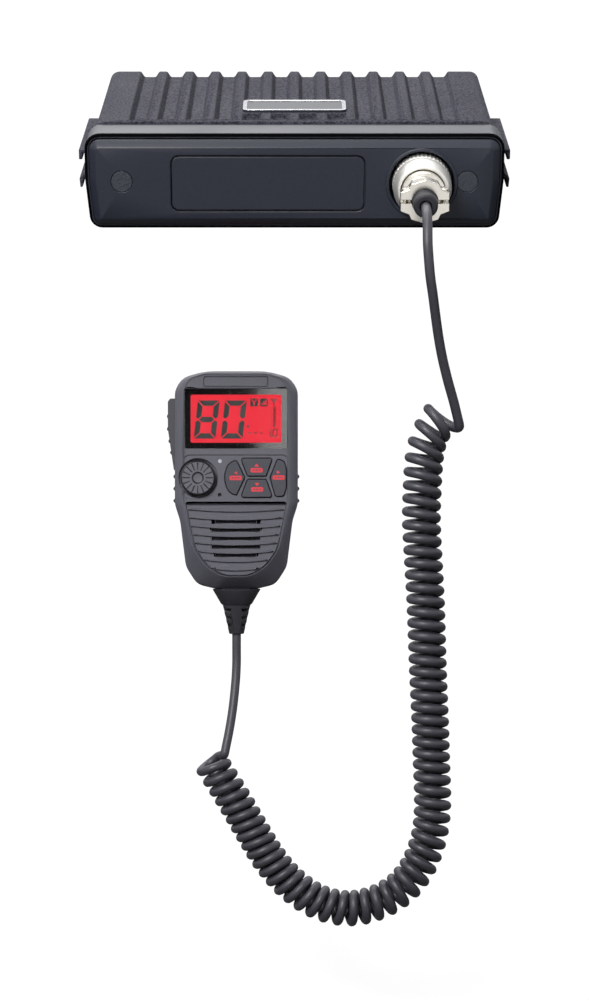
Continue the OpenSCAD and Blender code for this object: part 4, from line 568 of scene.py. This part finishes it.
# Moulded black nylon: matt, with a faint grain.
nylon = mottled("moulded_black_nylon", {"IOR": 1.53}, grain=0.6, detail=3,
                tones=("#17171a", "#242428"), gloss=(0.38, 0.55))
finish_nodes(nylon, "rf_module", "mic_capsule", "ptt_switch", "encoder_body", "encoder_rotor")

# Printed plastic sleeve on the capacitors: dark blue, glossy, shrunk tight.
sleeve = mottled("shrunk_blue_sleeve", {"Roughness": 0.3}, grain=6, tones=("#1c2a44", "#2a3c5e"))
finish_nodes(sleeve, "capacitors")

# Sockets on the rear wall
# From the left: the aerial socket, a square flange turned and milled from brass and nickel-plated, with a
# thread on its barrel; the loudspeaker jack; and the supply inlet with two blades.

# Nickel plate on turned brass: bright and faintly warm, with the fine rings that the lathe leaves.
nickel, tree, shader, place = new_finish("nickel_plated_turned_brass", {"Metallic": 1.0})
fog = add(tree, "ShaderNodeTexNoise", {"Vector": place["Object"], "Scale": 1 / (2.2 * mm), "Detail": 3})
lathe = add(tree, "ShaderNodeMapping",
            {"Vector": place["Object"], "Scale": (1 / (9 * mm), 1 / (0.4 * mm), 1 / (9 * mm))})
rings = add(tree, "ShaderNodeTexNoise", {"Vector": lathe, "Scale": 1.0, "Detail": 2})
drive(tree, shader, (fog, "#dbd6cc", "#f1ede5"), (fog, 0.3, 0.7, 0.2, 0.25), (rings, 0.06, 0.04))

dressed("antenna_socket", "aerial_socket", 0.15, nickel)
screws("antenna_screws", "aerial_screws", (0, 1, 0), 1.4 * mm, zinc)

tree, given = start_tree("rolled_thread", Radius="Float", Length="Float", Turns="Float", Ridge="Float",
                         Turn="Rotation", Plating="Material")
helix = add(tree, "GeometryNodeCurveSpiral",
            {"Resolution": 36, "Rotations": given["Turns"], "Start Radius": given["Radius"],
             "End Radius": given["Radius"], "Height": given["Length"]})
ridge = add(tree, "GeometryNodeCurvePrimitiveCircle", {"Resolution": 6, "Radius": given["Ridge"]})
thread = add(tree, "GeometryNodeCurveToMesh", {"Curve": helix, "Profile Curve": ridge, "Fill Caps": True})
thread_tree = end_tree(tree, thread, given["Geometry"], given["Turn"], given["Plating"])

low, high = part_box("antenna_socket")
barrel_r, thread_start, thread_length = 7.9 * mm, 10.2 * mm, 9.4 * mm
thread_foot = ((low.x + high.x) / 2, high.y - thread_start, (low.z + high.z) / 2)
grown("aerial_thread", [thread_foot], thread_tree, {
    "Radius": barrel_r - 0.1 * mm, "Length": thread_length, "Turns": 9.0, "Ridge": 0.32 * mm,
    "Turn": Vector((0, 1, 0)).to_track_quat("Z", "Y").to_euler(), "Plating": nickel})

# Turned fluoropolymer insulators: waxy white, a little translucent.
insulator = mottled("turned_fluoropolymer", {"Roughness": 0.45, "IOR": 1.38}, grain=3,
                    tones=("#ddd8cb", "#eeeae0"))
finish_nodes(insulator, "antenna_insert")

# Gold flash on brass contacts: deep yellow metal, satin.
gold = mottled("gold_flashed_brass", {"Metallic": 1.0, "Base Color": rgb("#e0b45c")}, grain=1.2,
               gloss=(0.2, 0.36))
finish_nodes(gold, "power_contacts", "socket_pins")

dressed("power_inlet", "supply_inlet", 0.2, nylon)
dressed("speaker_jack", "loudspeaker_jack", 0.15, nylon)

# Microphone connector
# A panel socket held by a nut behind the well, and a plug with a free coupling ring, all turned from brass
# and nickel-plated. A saddle with two screws grips the cord, in a rubber sleeve.
for node_name, name, edge in (("mic_socket", "panel_socket", 0.15), ("socket_nut", "panel_nut", 0.15),
                              ("plug_shell", "plug_barrel", 0.2), ("cable_clamp", "cord_saddle", 0.25)):
    dressed(node_name, name, edge, nickel)

# Satin nickel on the ring, blasted before it was plated: white and soft, without a clear mirror image.
satin = mottled("nickel_plated_blasted_brass", {"Metallic": 0.85}, grain=0.5,
                tones=("#ebe8e2", "#f8f6f2"), gloss=(0.42, 0.52), spread=(0.3, 0.7))
dressed("coupling_ring", "knurled_ring", 0.12, satin, body="plug_ring")
screws("clamp_screws", "saddle_screws", (0, 0, 1), 1.0 * mm, nickel)

# Phenolic resin: dark brown, pressed hot, with a slight gloss.
phenolic = mottled("pressed_phenolic", {"Roughness": 0.35}, grain=0.8, tones=("#241a14", "#3a2a20"))
finish_nodes(phenolic, "socket_insert", "plug_insert")

# Moulded rubber: nearly black and dull, with a bloom that greys it in patches.
rubber = mottled("moulded_black_rubber", {"IOR": 1.5, "Specular IOR Level": 0.35}, grain=4, detail=4,
                 tones=("#222227", "#323238"), gloss=(0.45, 0.65))
dressed("plug_grommet", "plug_sleeve", 0.25, rubber)

# Handset covers
# Two ABS mouldings that close on a seal, screwed together from the back. The face is a shield with a grille
# of leaf-shaped louvres; the back carries the hanging stud.
# The handset's own axes run to the right, to the back and up, and lean with it.
handset_at, handset_lean = (-0.023, -0.002931, -0.129988), radians(-20)
in_handset = Matrix.Translation(handset_at) @ Matrix.Rotation(handset_lean, 4, "X")

# Moulded ABS in a mid grey from a finely etched mould: even and matt, in patches of slightly more gloss where
# hands have polished it.
shell_plastic = mottled(
    "moulded_abs_grey", {"IOR": 1.53, "Specular IOR Level": 0.45}, grain=0.6, detail=3, flow=25,
    tones=("#54545d", "#65656f"), gloss=(0.42, 0.52), spread=(0.3, 0.7), relief=(0.15, 0.05))

# The rim round the grille's shield: where it starts to fall, over what height it comes to fall in full, how
# deep it is, the fall at some depths, and the corners of the shield's right edge, in millimetres
chin_top, chin_ease, rim_depth = -20, 12, 8
falls = ((0, 0), (0.4, 1.4), (1.6, 4.2), (3.4, 6.3), (6, 7.4), (rim_depth, rim_depth))
shield = ((19.0, -15.4), (16.4, -27.0), (11.4, -33.8), (4.8, -37.5))


def in_shield(x, z):
    """Whether a point of the face lies on the shield."""
    return z > shield[-1][1] and all(
        (b[0] - a[0]) * (z - a[1]) - (b[1] - a[1]) * (abs(x) - a[0]) < 0 for a, b in zip(shield, shield[1:]))


def drop_chin(form):
    """Lets the rim round the foot of the grille fall away towards the back, as the real chin does."""
    for vert in form.verts:
        x, y, z = in_handset.inverted() @ vert.co / mm
        if not (0 < y < rim_depth and z < chin_top) or in_shield(x, z):
            continue
        part = min(1, (chin_top - z) / chin_ease)
        fallen = next(r + (s - r) * (y - p) / (q - p) for (p, r), (q, s) in zip(falls, falls[1:]) if y <= q)
        vert.co = in_handset @ (Vector((x, y + (fallen - y) * part * part * (3 - 2 * part), z)) * mm)


dressed("front_cover", "face_cover", 0.18, shell_plastic, angle=28, rework=drop_chin)

# Moulded ABS in charcoal, for the back and the talk button: darker than the face, from a coarser mould.
rear_plastic = mottled(
    "moulded_abs_charcoal", {"IOR": 1.53, "Specular IOR Level": 0.45}, grain=0.6, detail=3,
    tones=("#34343b", "#44444c"), gloss=(0.42, 0.55), relief=(0.2, 0.05))

dressed("rear_cover", "back_cover", 0.25, rear_plastic, angle=28)
finish_nodes(rubber, "cover_seal")
screws("cover_screws", "cover_screws_plated", (0, 1, 0), 1.6 * mm, zinc, in_handset)
dressed("hang_button", "hanging_stud", 0.25, nickel)
dressed("cord_boot", "notched_boot", 0.35, rubber)

# The web between the notches in front and those behind: height above the boot's foot and half sizes of its
# two ends, in millimetres
(low, high), = solids_of("cord_boot", in_handset)
web_sides, corner = 32, 3
middle = (low + high) / 2
rings = []
for height, half_x, half_y in ((0.6, 2.9, 1.5), (11.3, 5.4, 2.3)):
    for c, s in circle(web_sides):
        f = mm / (abs(c) ** corner + abs(s) ** corner) ** (1 / corner)
        rings.append(in_handset @ Vector(
            (middle.x + half_x * c * f, middle.y + half_y * s * f, low.z + height * mm)))
boot_web = skinned("boot_web", rings, web_sides, rubber)
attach(boot_web, "radio_and_handset")


# Display
# A clear acrylic pane with a black ink mask on its back, over a liquid-crystal panel lit in red from behind.
# The segments are opaque where they are driven.
def rounded(corners, radius, steps=5):
    """An outline with its corners rounded; the corners run anticlockwise."""
    outline = []
    for i, corner in enumerate(corners):
        b = Vector(corner)
        to_a = (Vector(corners[i - 1]) - b).normalized()
        to_c = (Vector(corners[(i + 1) % len(corners)]) - b).normalized()
        half = to_a.angle(to_c) / 2
        centre = b + (to_a + to_c).normalized() * radius / sin(half)
        start, end = b + to_a * radius / tan(half) - centre, b + to_c * radius / tan(half) - centre
        sweep = start.angle_signed(end)
        for k in range(steps + 1):
            outline.append(centre + Matrix.Rotation(-sweep * k / steps, 2) @ start)
    return outline


def rectangle(x0, z0, x1, z1):
    """Corners of a rectangle, anticlockwise."""
    return [(x0, z0), (x1, z0), (x1, z1), (x0, z1)]


def plates(name, outlines, front, back, material, body="radio_and_handset", hole=None):
    """Flat plates on the handset's face, from outlines in millimetres that run anticlockwise."""
    form = bmesh.new()

    def ring(points, y):
        return [form.verts.new(in_handset @ (Vector((p[0], y, p[1])) * mm)) for p in points]

    for outline in outlines:
        rings = [ring(outline, front), ring(outline, back)]
        if hole:
            rings += [ring(hole, back), ring(hole, front)]
            pairs = list(zip(rings, rings[1:] + rings[:1]))
        else:
            form.faces.new(rings[0])
            form.faces.new(rings[1][::-1])
            pairs = [(rings[0], rings[1])]
        for a, b in pairs:
            for i in range(len(a)):
                j = (i + 1) % len(a)
                form.faces.new((a[j], a[i], b[i], b[j]))
    bmesh.ops.recalc_face_normals(form, faces=form.faces)
    mesh = bpy.data.meshes.new(name)
    form.to_mesh(mesh)
    form.free()
    mesh.materials.append(material)
    piece = placed(name, mesh)
    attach(piece, body)
    return piece


# Cast acrylic with a hard coat: clear, colourless and polished, with the faintest swirl of wiping.
acrylic = mottled(
    "hard_coated_acrylic", {"Transmission Weight": 1.0, "IOR": 1.49, "Base Color": rgb("#ffffff")},
    grain=12, detail=4, gloss=(0.03, 0.06))
aperture = rounded(rectangle(-17.85, 14.7, 17.85, 33.6), 0.7)
pane = plates("display_pane", [rounded(rectangle(-20.1, 12.4, 20.1, 35.9), 0.7)],
              0.0, 1.05, acrylic, hole=aperture)
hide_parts("display_window")

# Etched anti-glare film over the aperture: it hardly mirrors, so the figures stay clear where the rim shines.
film = mottled("anti_glare_film", {"Transmission Weight": 1.0, "IOR": 1.06, "Base Color": rgb("#ffffff")},
               grain=3, gloss=(0.0, 0.006))
plates("display_film", [aperture], 0.15, 0.9, film)

# Screen-printed black ink: flat and dense, with a slight pick-up pattern from the screen.
ink = mottled("screen_printed_black", {"Roughness": 0.7, "Specular IOR Level": 0.05}, grain=0.4,
              tones=("#08080a", "#101013"))
plates("display_mask", [rounded(rectangle(-20.0, 12.5, 20.0, 35.8), 0.6)],
       1.07, 1.18, ink, hole=aperture)

# Red light through the diffuser: nearly even over the panel, with faint drifts of a deeper red.
lit_panel = mottled(
    "backlit_red_liquid_crystal",
    {"Base Color": rgb("#120204"), "Roughness": 0.6, "Specular IOR Level": 0.1, "Emission Strength": 1.0},
    grain=14, tones=("#e72e3c", "#ee3643"), toned="Emission Color")
finish_nodes(lit_panel, "display_panel")
finish_nodes(insulator, "backlight")

# Driven liquid crystal: nearly black with a green cast.
segment_dark = mottled("driven_liquid_crystal", {"Roughness": 0.6}, grain=1.5, tones=("#1c2624", "#27312e"))


def digit(figure, x, z, w, h, t, gap, slant=0.113):
    """The driven segments of one figure, at the lower left corner of its place."""
    mid = h / 2
    foot = [(gap, 0), (w - gap, 0), (w - t - gap, t), (t + gap, t)]
    left = [(0, gap), (t, t + gap), (t, mid - t / 2 - gap), (0.45 * t, mid - gap), (0, mid - 0.3 * t - gap)]
    right = [(w - px, pz) for px, pz in left]
    bar = [(0.5 * t + gap, mid), (t + gap, mid - t / 2), (w - t - gap, mid - t / 2),
           (w - 0.5 * t - gap, mid), (w - t - gap, mid + t / 2), (t + gap, mid + t / 2)]
    head, upper_left, upper_right = ([(px, h - pz) for px, pz in stroke] for stroke in (foot, left, right))
    shapes = {"a": head, "b": upper_right, "c": right, "d": foot, "e": left, "f": upper_left, "g": bar}
    driven = {"8": "abcdefg", "0": "abcdef", "1": "bc", "-": "g"}[figure]
    return [[(x + px + slant * pz, z + pz) for px, pz in shapes[s]] for s in driven]


# Width, height, stroke and gap of the large figures, the dashes and the small figures, in millimetres
large, dash, small = (8.6, 15, 2.1, 0.3), (1.9, 3.3, 0.42, 0.1), (2.0, 3.3, 0.42, 0.1)
figures = digit("8", -16.7, 16.36, *large) + digit("0", -6.03, 16.36, *large)
for i in range(3):
    figures += digit("-", 4.1 + 2.35 * i, 16.9, *dash)
for i, figure in enumerate("10"):
    figures += digit(figure, 11.6 + 2.5 * i, 16.9, *small)
figures.append([(4.1, 20.75), (5.3, 20.75), (4.7, 21.98)])
icons = [rounded(rectangle(5.6, 29.05, 8.65, 32.15), 0.3), rounded(rectangle(9.45, 29.05, 12.5, 32.15), 0.3)]
mast = [rectangle(14.7, 29.5, 15.1, 32.1),
        [(13.55, 32.1), (14.8, 30.5), (14.95, 30.9), (14.1, 32.1)],
        [(16.25, 32.1), (15.7, 32.1), (14.85, 30.9), (15.0, 30.5)]]
plates("display_figures", figures + icons + mast, 1.98, 2.04, segment_dark)
plates("display_icon_marks", [
    rectangle(6.9, 29.45, 7.35, 30.9), [(5.95, 31.8), (7.0, 30.4), (7.2, 30.7), (6.4, 31.8)],
    [(8.3, 31.8), (7.85, 31.8), (7.05, 30.7), (7.25, 30.4)], rectangle(10.0, 29.6, 10.5, 30.3),
    rectangle(10.75, 29.6, 11.25, 31.0), rectangle(11.5, 29.6, 12.0, 31.7)], 1.93, 1.985, lit_panel)

tree, given = start_tree("level_bars", Count="Int", Pitch="Vector", Size="Vector", Turn="Rotation",
                         Segment="Material")
row = add(tree, "GeometryNodeMeshLine", {"Count": given["Count"], "Offset": given["Pitch"]}, mode="OFFSET")
bar = add(tree, "GeometryNodeMeshCube", {"Size": given["Size"]})
bars = add(tree, "GeometryNodeInstanceOnPoints", {"Points": row, "Instance": bar})
bar_tree = end_tree(tree, bars, given["Geometry"], given["Turn"], given["Segment"])
for name, x, z, count, pitch, size in (("display_level_bars", 15.1, 21.25, 11, 0.73, (1.1, 0.06, 0.47)),
                                       ("display_level_scale", 13.7, 21.4, 5, 1.7, (0.28, 0.06, 0.28))):
    grown(name, [in_handset @ (Vector((x, 2.01, z)) * mm)], bar_tree, {
        "Count": count, "Pitch": (0, 0, pitch * mm), "Size": Vector(size) * mm,
        "Turn": in_handset.to_euler(), "Segment": segment_dark})

# Keys
# Four silicone-rubber keys in a mat behind the face, sprayed matt grey. Their marks are laser-etched through
# the paint, so that the red light behind shows in them.

# Painted silicone: a shade darker than the shell and very matt, with fine dust in the paint. The sides and
# eased edges get the dark bare rubber, which also paints the shade in the gap round each key.
key_paint = mottled("painted_silicone_rubber", {"IOR": 1.42, "Specular IOR Level": 0.35}, grain=0.5, detail=3,
                    tones=("#484850", "#585860"), gloss=(0.5, 0.68))

# Etched mark with light behind: plain red, a little uneven where the paint burned off.
etched = mottled(
    "etched_mark_backlit", {"Base Color": rgb("#30080b"), "Roughness": 0.6, "Emission Strength": 0.85},
    grain=0.7, tones=("#d62f3c", "#ee414d"), toned="Emission Color")


def with_sides(piece, material, forward):
    """Gives a second material to all that faces forward by less than a share of its normal; a dark one there
    paints the shade round the piece.
    """
    piece.data.materials.append(material)
    for face in piece.data.polygons:
        if -(in_handset.to_3x3().inverted() @ face.normal).y < forward:
            face.material_index = 1


key_face, key_corner, dot = -0.55, 0.5, 0.3
for side, bar, arrow in (
        ("left", (-2.5, 0.0, 2.3, 1.75), [(-0.75, 2.85), (0.45, 2.2), (0.45, 3.5)]),
        ("top", (5.75, 3.0, 10.5, 4.75), [(7.15, 5.3), (9.15, 5.3), (8.15, 6.5)]),
        ("bottom", (5.95, -4.5, 10.7, -2.75), [(8.3, -2.3), (9.3, -1.1), (7.3, -1.1)]),
        ("right", (14.4, 0.15, 19.1, 1.9), [(16.1, 2.4), (17.4, 3.1), (16.1, 3.8)])):
    key = dressed("key_" + side, side + "_key_cap", 0.3, key_paint, body=side + "_key")
    with_sides(key, rubber, forward=0.85)
    x0, z0, x1, z1 = bar
    middle = (z0 + z1) / 2
    plates(side + "_key_mark", [rounded(rectangle(*bar), key_corner), arrow],
           key_face - 0.02, key_face + 0.1, etched, body=side + "_key")
    plates(side + "_key_mark_dots", [
        rounded(rectangle(x - dot, middle - dot, x + dot, middle + dot), 0.28)
        for x in (x0 + (x1 - x0) * k / 4 for k in (1, 2, 3))],
        key_face - 0.035, key_face + 0.05, key_paint, body=side + "_key")

# Bare silicone rubber of the mat: mid grey and dull.
silicone = mottled("moulded_silicone", {"Roughness": 0.6, "IOR": 1.42}, grain=5, tones=("#6d6f74", "#7d7f84"))
finish_nodes(silicone, "key_mat")

# Knob
# A moulded cap with grooves on its face and a dish for the finger. It is pressed on the encoder's steel
# shaft, which it turns and pushes.

# Moulded ABS, a trace lighter than the shell and matt. Only what faces the front has it: the skirt and all
# that turns aside are black nylon, which also paints the shade of the well round the knob.
knob_plastic = mottled("moulded_abs_knob", {"IOR": 1.53, "Specular IOR Level": 0.45}, grain=0.5, detail=3,
                       tones=("#56565f", "#686871"), gloss=(0.4, 0.5))
volume_knob = dressed("volume_knob", "grooved_knob", 0.15, knob_plastic, body="knob")
with_sides(volume_knob, nylon, forward=0.9)
finish_nodes(zinc, "encoder_shaft")

# Talk button
# A long side key moulded in charcoal ABS, on a steel pin at its foot. When it is pressed, it turns on the pin
# and works a switch behind it.
dressed("ptt_button", "talk_key", 0.3, rear_plastic, body="talk_button", angle=28)

# Loudspeaker, microphone and lamp behind the face
# A paper cone in a frame of tinned steel behind a woven dust mesh, a microphone behind its hole, and a
# frosted pipe that shows the lamp.

# Pressed paper pulp, dyed black: fibrous and dull.
paper = mottled("pressed_paper_cone", {"Roughness": 0.9}, grain=0.8, detail=5, tones=("#101012", "#232326"))
finish_nodes(paper, "speaker_cone", "grille_mesh")

# Woven polyester thread: black, with a slight shine on each crossing.
thread_black = mottled("woven_polyester", {"Roughness": 0.45}, grain=0.5, tones=("#1b1b1f", "#34343a"))

tree, given = start_tree("woven_mesh", Width="Float", Height="Float", Pitch="Float", Thread="Float",
                         Turn="Rotation", Fibre="Material")
where = add(tree, "ShaderNodeSeparateXYZ", {0: add(tree, "GeometryNodeInputPosition")})
both = add(tree, "ShaderNodeMath", {0: where.outputs["X"], 1: where.outputs["Z"]}, operation="ADD")
steps = add(tree, "ShaderNodeMath", {0: both, 1: given["Pitch"]}, operation="DIVIDE")
angle = add(tree, "ShaderNodeMath", {0: steps, 1: pi}, operation="MULTIPLY")
wave = add(tree, "ShaderNodeMath", {0: angle}, operation="SINE")
layers = []
for across, along, sign in (("Width", "Height", 1.0), ("Height", "Width", -1.0)):
    count = add(tree, "ShaderNodeMath", {0: given[across], 1: given["Pitch"]}, operation="DIVIDE")
    half_a = add(tree, "ShaderNodeMath", {0: given[across], 1: -0.5}, operation="MULTIPLY")
    half_l = add(tree, "ShaderNodeMath", {0: given[along], 1: 0.5}, operation="MULTIPLY")
    minus_l = add(tree, "ShaderNodeMath", {0: half_l, 1: -1.0}, operation="MULTIPLY")
    axis_a, axis_l = ("X", "Z") if across == "Width" else ("Z", "X")
    first = add(tree, "ShaderNodeCombineXYZ", {axis_a: half_a})
    step = add(tree, "ShaderNodeCombineXYZ", {axis_a: given["Pitch"]})
    row = add(tree, "GeometryNodeMeshLine",
              {"Count": count, "Start Location": first, "Offset": step}, mode="OFFSET")
    start = add(tree, "ShaderNodeCombineXYZ", {axis_l: minus_l})
    end = add(tree, "ShaderNodeCombineXYZ", {axis_l: half_l})
    strand = add(tree, "GeometryNodeCurvePrimitiveLine", {"Start": start, "End": end})
    strand = add(tree, "GeometryNodeResampleCurve", {"Curve": strand, "Count": 70})
    strands = add(tree, "GeometryNodeInstanceOnPoints", {"Points": row, "Instance": strand})
    strands = add(tree, "GeometryNodeRealizeInstances", {"Geometry": strands})
    rise = add(tree, "ShaderNodeMath", {0: given["Thread"], 1: sign}, operation="MULTIPLY")
    rise = add(tree, "ShaderNodeMath", {0: wave, 1: rise}, operation="MULTIPLY")
    offset = add(tree, "ShaderNodeCombineXYZ", {"Y": rise})
    strands = add(tree, "GeometryNodeSetPosition", {"Geometry": strands, "Offset": offset})
    ring = add(tree, "GeometryNodeCurvePrimitiveCircle", {"Resolution": 5, "Radius": given["Thread"]})
    layers.append(add(tree, "GeometryNodeCurveToMesh",
                      {"Curve": strands, "Profile Curve": ring, "Fill Caps": True}))
cloth = add(tree, "GeometryNodeJoinGeometry", {"Geometry": layers})
weave_tree = end_tree(tree, cloth, given["Geometry"], given["Turn"], given["Fibre"])

low, high = solids_of("grille_mesh", in_handset)[0]
thread_r, thread_pitch, mesh_share = 0.1 * mm, 0.8 * mm, 0.68
mesh_middle = in_handset @ Vector(((low.x + high.x) / 2, low.y - thread_r, (low.z + high.z) / 2))
grown("dust_mesh", [mesh_middle], weave_tree, {
    "Width": mesh_share * (high.x - low.x), "Height": mesh_share * (high.z - low.z), "Pitch": thread_pitch,
    "Thread": thread_r, "Turn": in_handset.to_euler(), "Fibre": thread_black})

# Frosted acrylic pipe: pale grey with the lamp off.
frosted = mottled("frosted_acrylic", {"IOR": 1.49, "Roughness": 0.4}, grain=1, tones=("#b9bbc0", "#d4d6da"))
finish_nodes(frosted, "light_pipe")

# Floor and light
# A roll of white paper below the cord: white to the lens, with a soft shadow near the object, and dim as a
# light. In mirrors it is white far in front and dark elsewhere, so that the cord's edges stay dark.
floor_z, shadow_y = -0.34, -0.15
floor_mesh = bpy.data.meshes.new("floor")
floor_mesh.from_pydata([(x, y, floor_z) for x, y in rectangle(-6, -4, 6, 8)], [], [(0, 1, 2, 3)])
floor = placed("floor", floor_mesh)
paper_floor, tree, shader, place = new_finish(
    "white_paper_roll", {"Base Color": rgb("#f2f2f2"), "Roughness": 0.8})
rays = add(tree, "ShaderNodeLightPath").outputs
reach = add(tree, "ShaderNodeVectorMath", {0: place["Object"], 1: (0.0, shadow_y, floor_z)},
            operation="DISTANCE")
ahead = add(tree, "ShaderNodeSeparateXYZ", {0: place["Object"]})
depth = add(tree, "ShaderNodeMapRange", {0: ahead.outputs["Y"], 1: -0.55, 2: -0.95, 3: 0.02, 4: 1.0},
            interpolation_type="SMOOTHSTEP")
mirrored = add(tree, "ShaderNodeMath", {0: rays["Is Glossy Ray"], 1: rays["Is Transmission Ray"]},
               operation="MAXIMUM")
plain = add(tree, "ShaderNodeMix", {0: rays["Is Camera Ray"], 2: depth, 3: 1.04}, data_type="FLOAT")
seen = add(tree, "ShaderNodeMath", {0: rays["Is Camera Ray"], 1: mirrored}, operation="MAXIMUM")
shade = add(tree, "ShaderNodeMapRange", {0: reach.outputs["Value"], 1: 0.2, 2: 0.7, 3: 0.16, 4: 0.0},
            interpolation_type="SMOOTHSTEP")
white = add(tree, "ShaderNodeEmission", {"Color": (1, 1, 1, 1), "Strength": plain})
dim = add(tree, "ShaderNodeBsdfDiffuse", {"Color": rgb("#2c2c2c")})
shown = add(tree, "ShaderNodeMixShader", {0: shade, 1: white, 2: shader})
choose = add(tree, "ShaderNodeMixShader", {0: seen, 1: dim, 2: shown})
fill(tree, tree.nodes["Material Output"], {"Surface": choose})
floor_mesh.materials.append(paper_floor)

# Seven soft lamps: the main one above in front at the left, a small one over the lid, a broad one behind that
# lights the tops at a flat angle, three low ones behind that light the sides and aren't mirrored, and a weak
# one beside the lens that shows in the pane. Place, aim, width, height, power, and whether it is mirrored.
for name, stand, aim, width, height, power, shows in (
        ("lamp_above", (-0.45, -0.95, 0.95), (0, -0.03, -0.05), 0.5, 0.5, 21, True),
        ("lamp_over_lid", (-0.1, 0.2, 1.1), (0, 0.05, 0.02), 0.4, 0.4, 5, True),
        ("lamp_behind", (-0.2, 1.1, 0.75), (0, 0.0, 0.0), 1.4, 0.6, 9, True),
        ("lamp_left", (-0.85, 0.5, -0.2), (0, 0.0, -0.08), 0.3, 0.24, 4.5, False),
        ("lamp_right", (0.85, 0.5, -0.2), (0, 0.0, -0.08), 0.3, 0.24, 5, False),
        ("lamp_low_behind", (0.2, 1.2, -0.2), (0, 0.0, -0.08), 0.8, 0.24, 9, False),
        ("lamp_beside_lens", (0.119, -1.2, 0.3), (0.119, -0.03, -0.12), 0.3, 0.35, 0.9, True)):
    lamp = bpy.data.lights.new(name, "AREA")
    lamp.shape = "RECTANGLE"
    lamp.size, lamp.size_y, lamp.energy = width, height, power
    holder = placed(name, lamp)
    holder.location = stand
    holder.rotation_euler = (Vector(aim) - Vector(stand)).to_track_quat("-Z", "Y").to_euler()
    holder.visible_glossy = shows

# The room: white to the lens, dim as a light, and white in mirrored rays except round the lens, where the
# dark room behind the camera shows.
world = bpy.data.worlds.new("studio")
world.use_nodes = True
bpy.context.scene.world = world
tree = world.node_tree
rays = add(tree, "ShaderNodeLightPath").outputs
view = add(tree, "ShaderNodeTexCoord").outputs["Generated"]
front = add(tree, "ShaderNodeVectorMath", {0: view, 1: (0, -0.94, 0.342)}, operation="DOT_PRODUCT")
around = add(tree, "ShaderNodeMapRange", {0: front.outputs["Value"], 1: 0.72, 2: 0.93, 3: 0.95, 4: 0.03},
             interpolation_type="SMOOTHSTEP")
mirrored = add(tree, "ShaderNodeMath", {0: rays["Is Glossy Ray"], 1: rays["Is Transmission Ray"]},
               operation="MAXIMUM")
level = add(tree, "ShaderNodeMix", {0: mirrored, 2: 0.07, 3: around}, data_type="FLOAT")
level = add(tree, "ShaderNodeMix", {0: rays["Is Camera Ray"], 2: level, 3: 1.0}, data_type="FLOAT")
fill(tree, tree.nodes["Background"], {"Strength": level, "Color": (1, 1, 1, 1)})
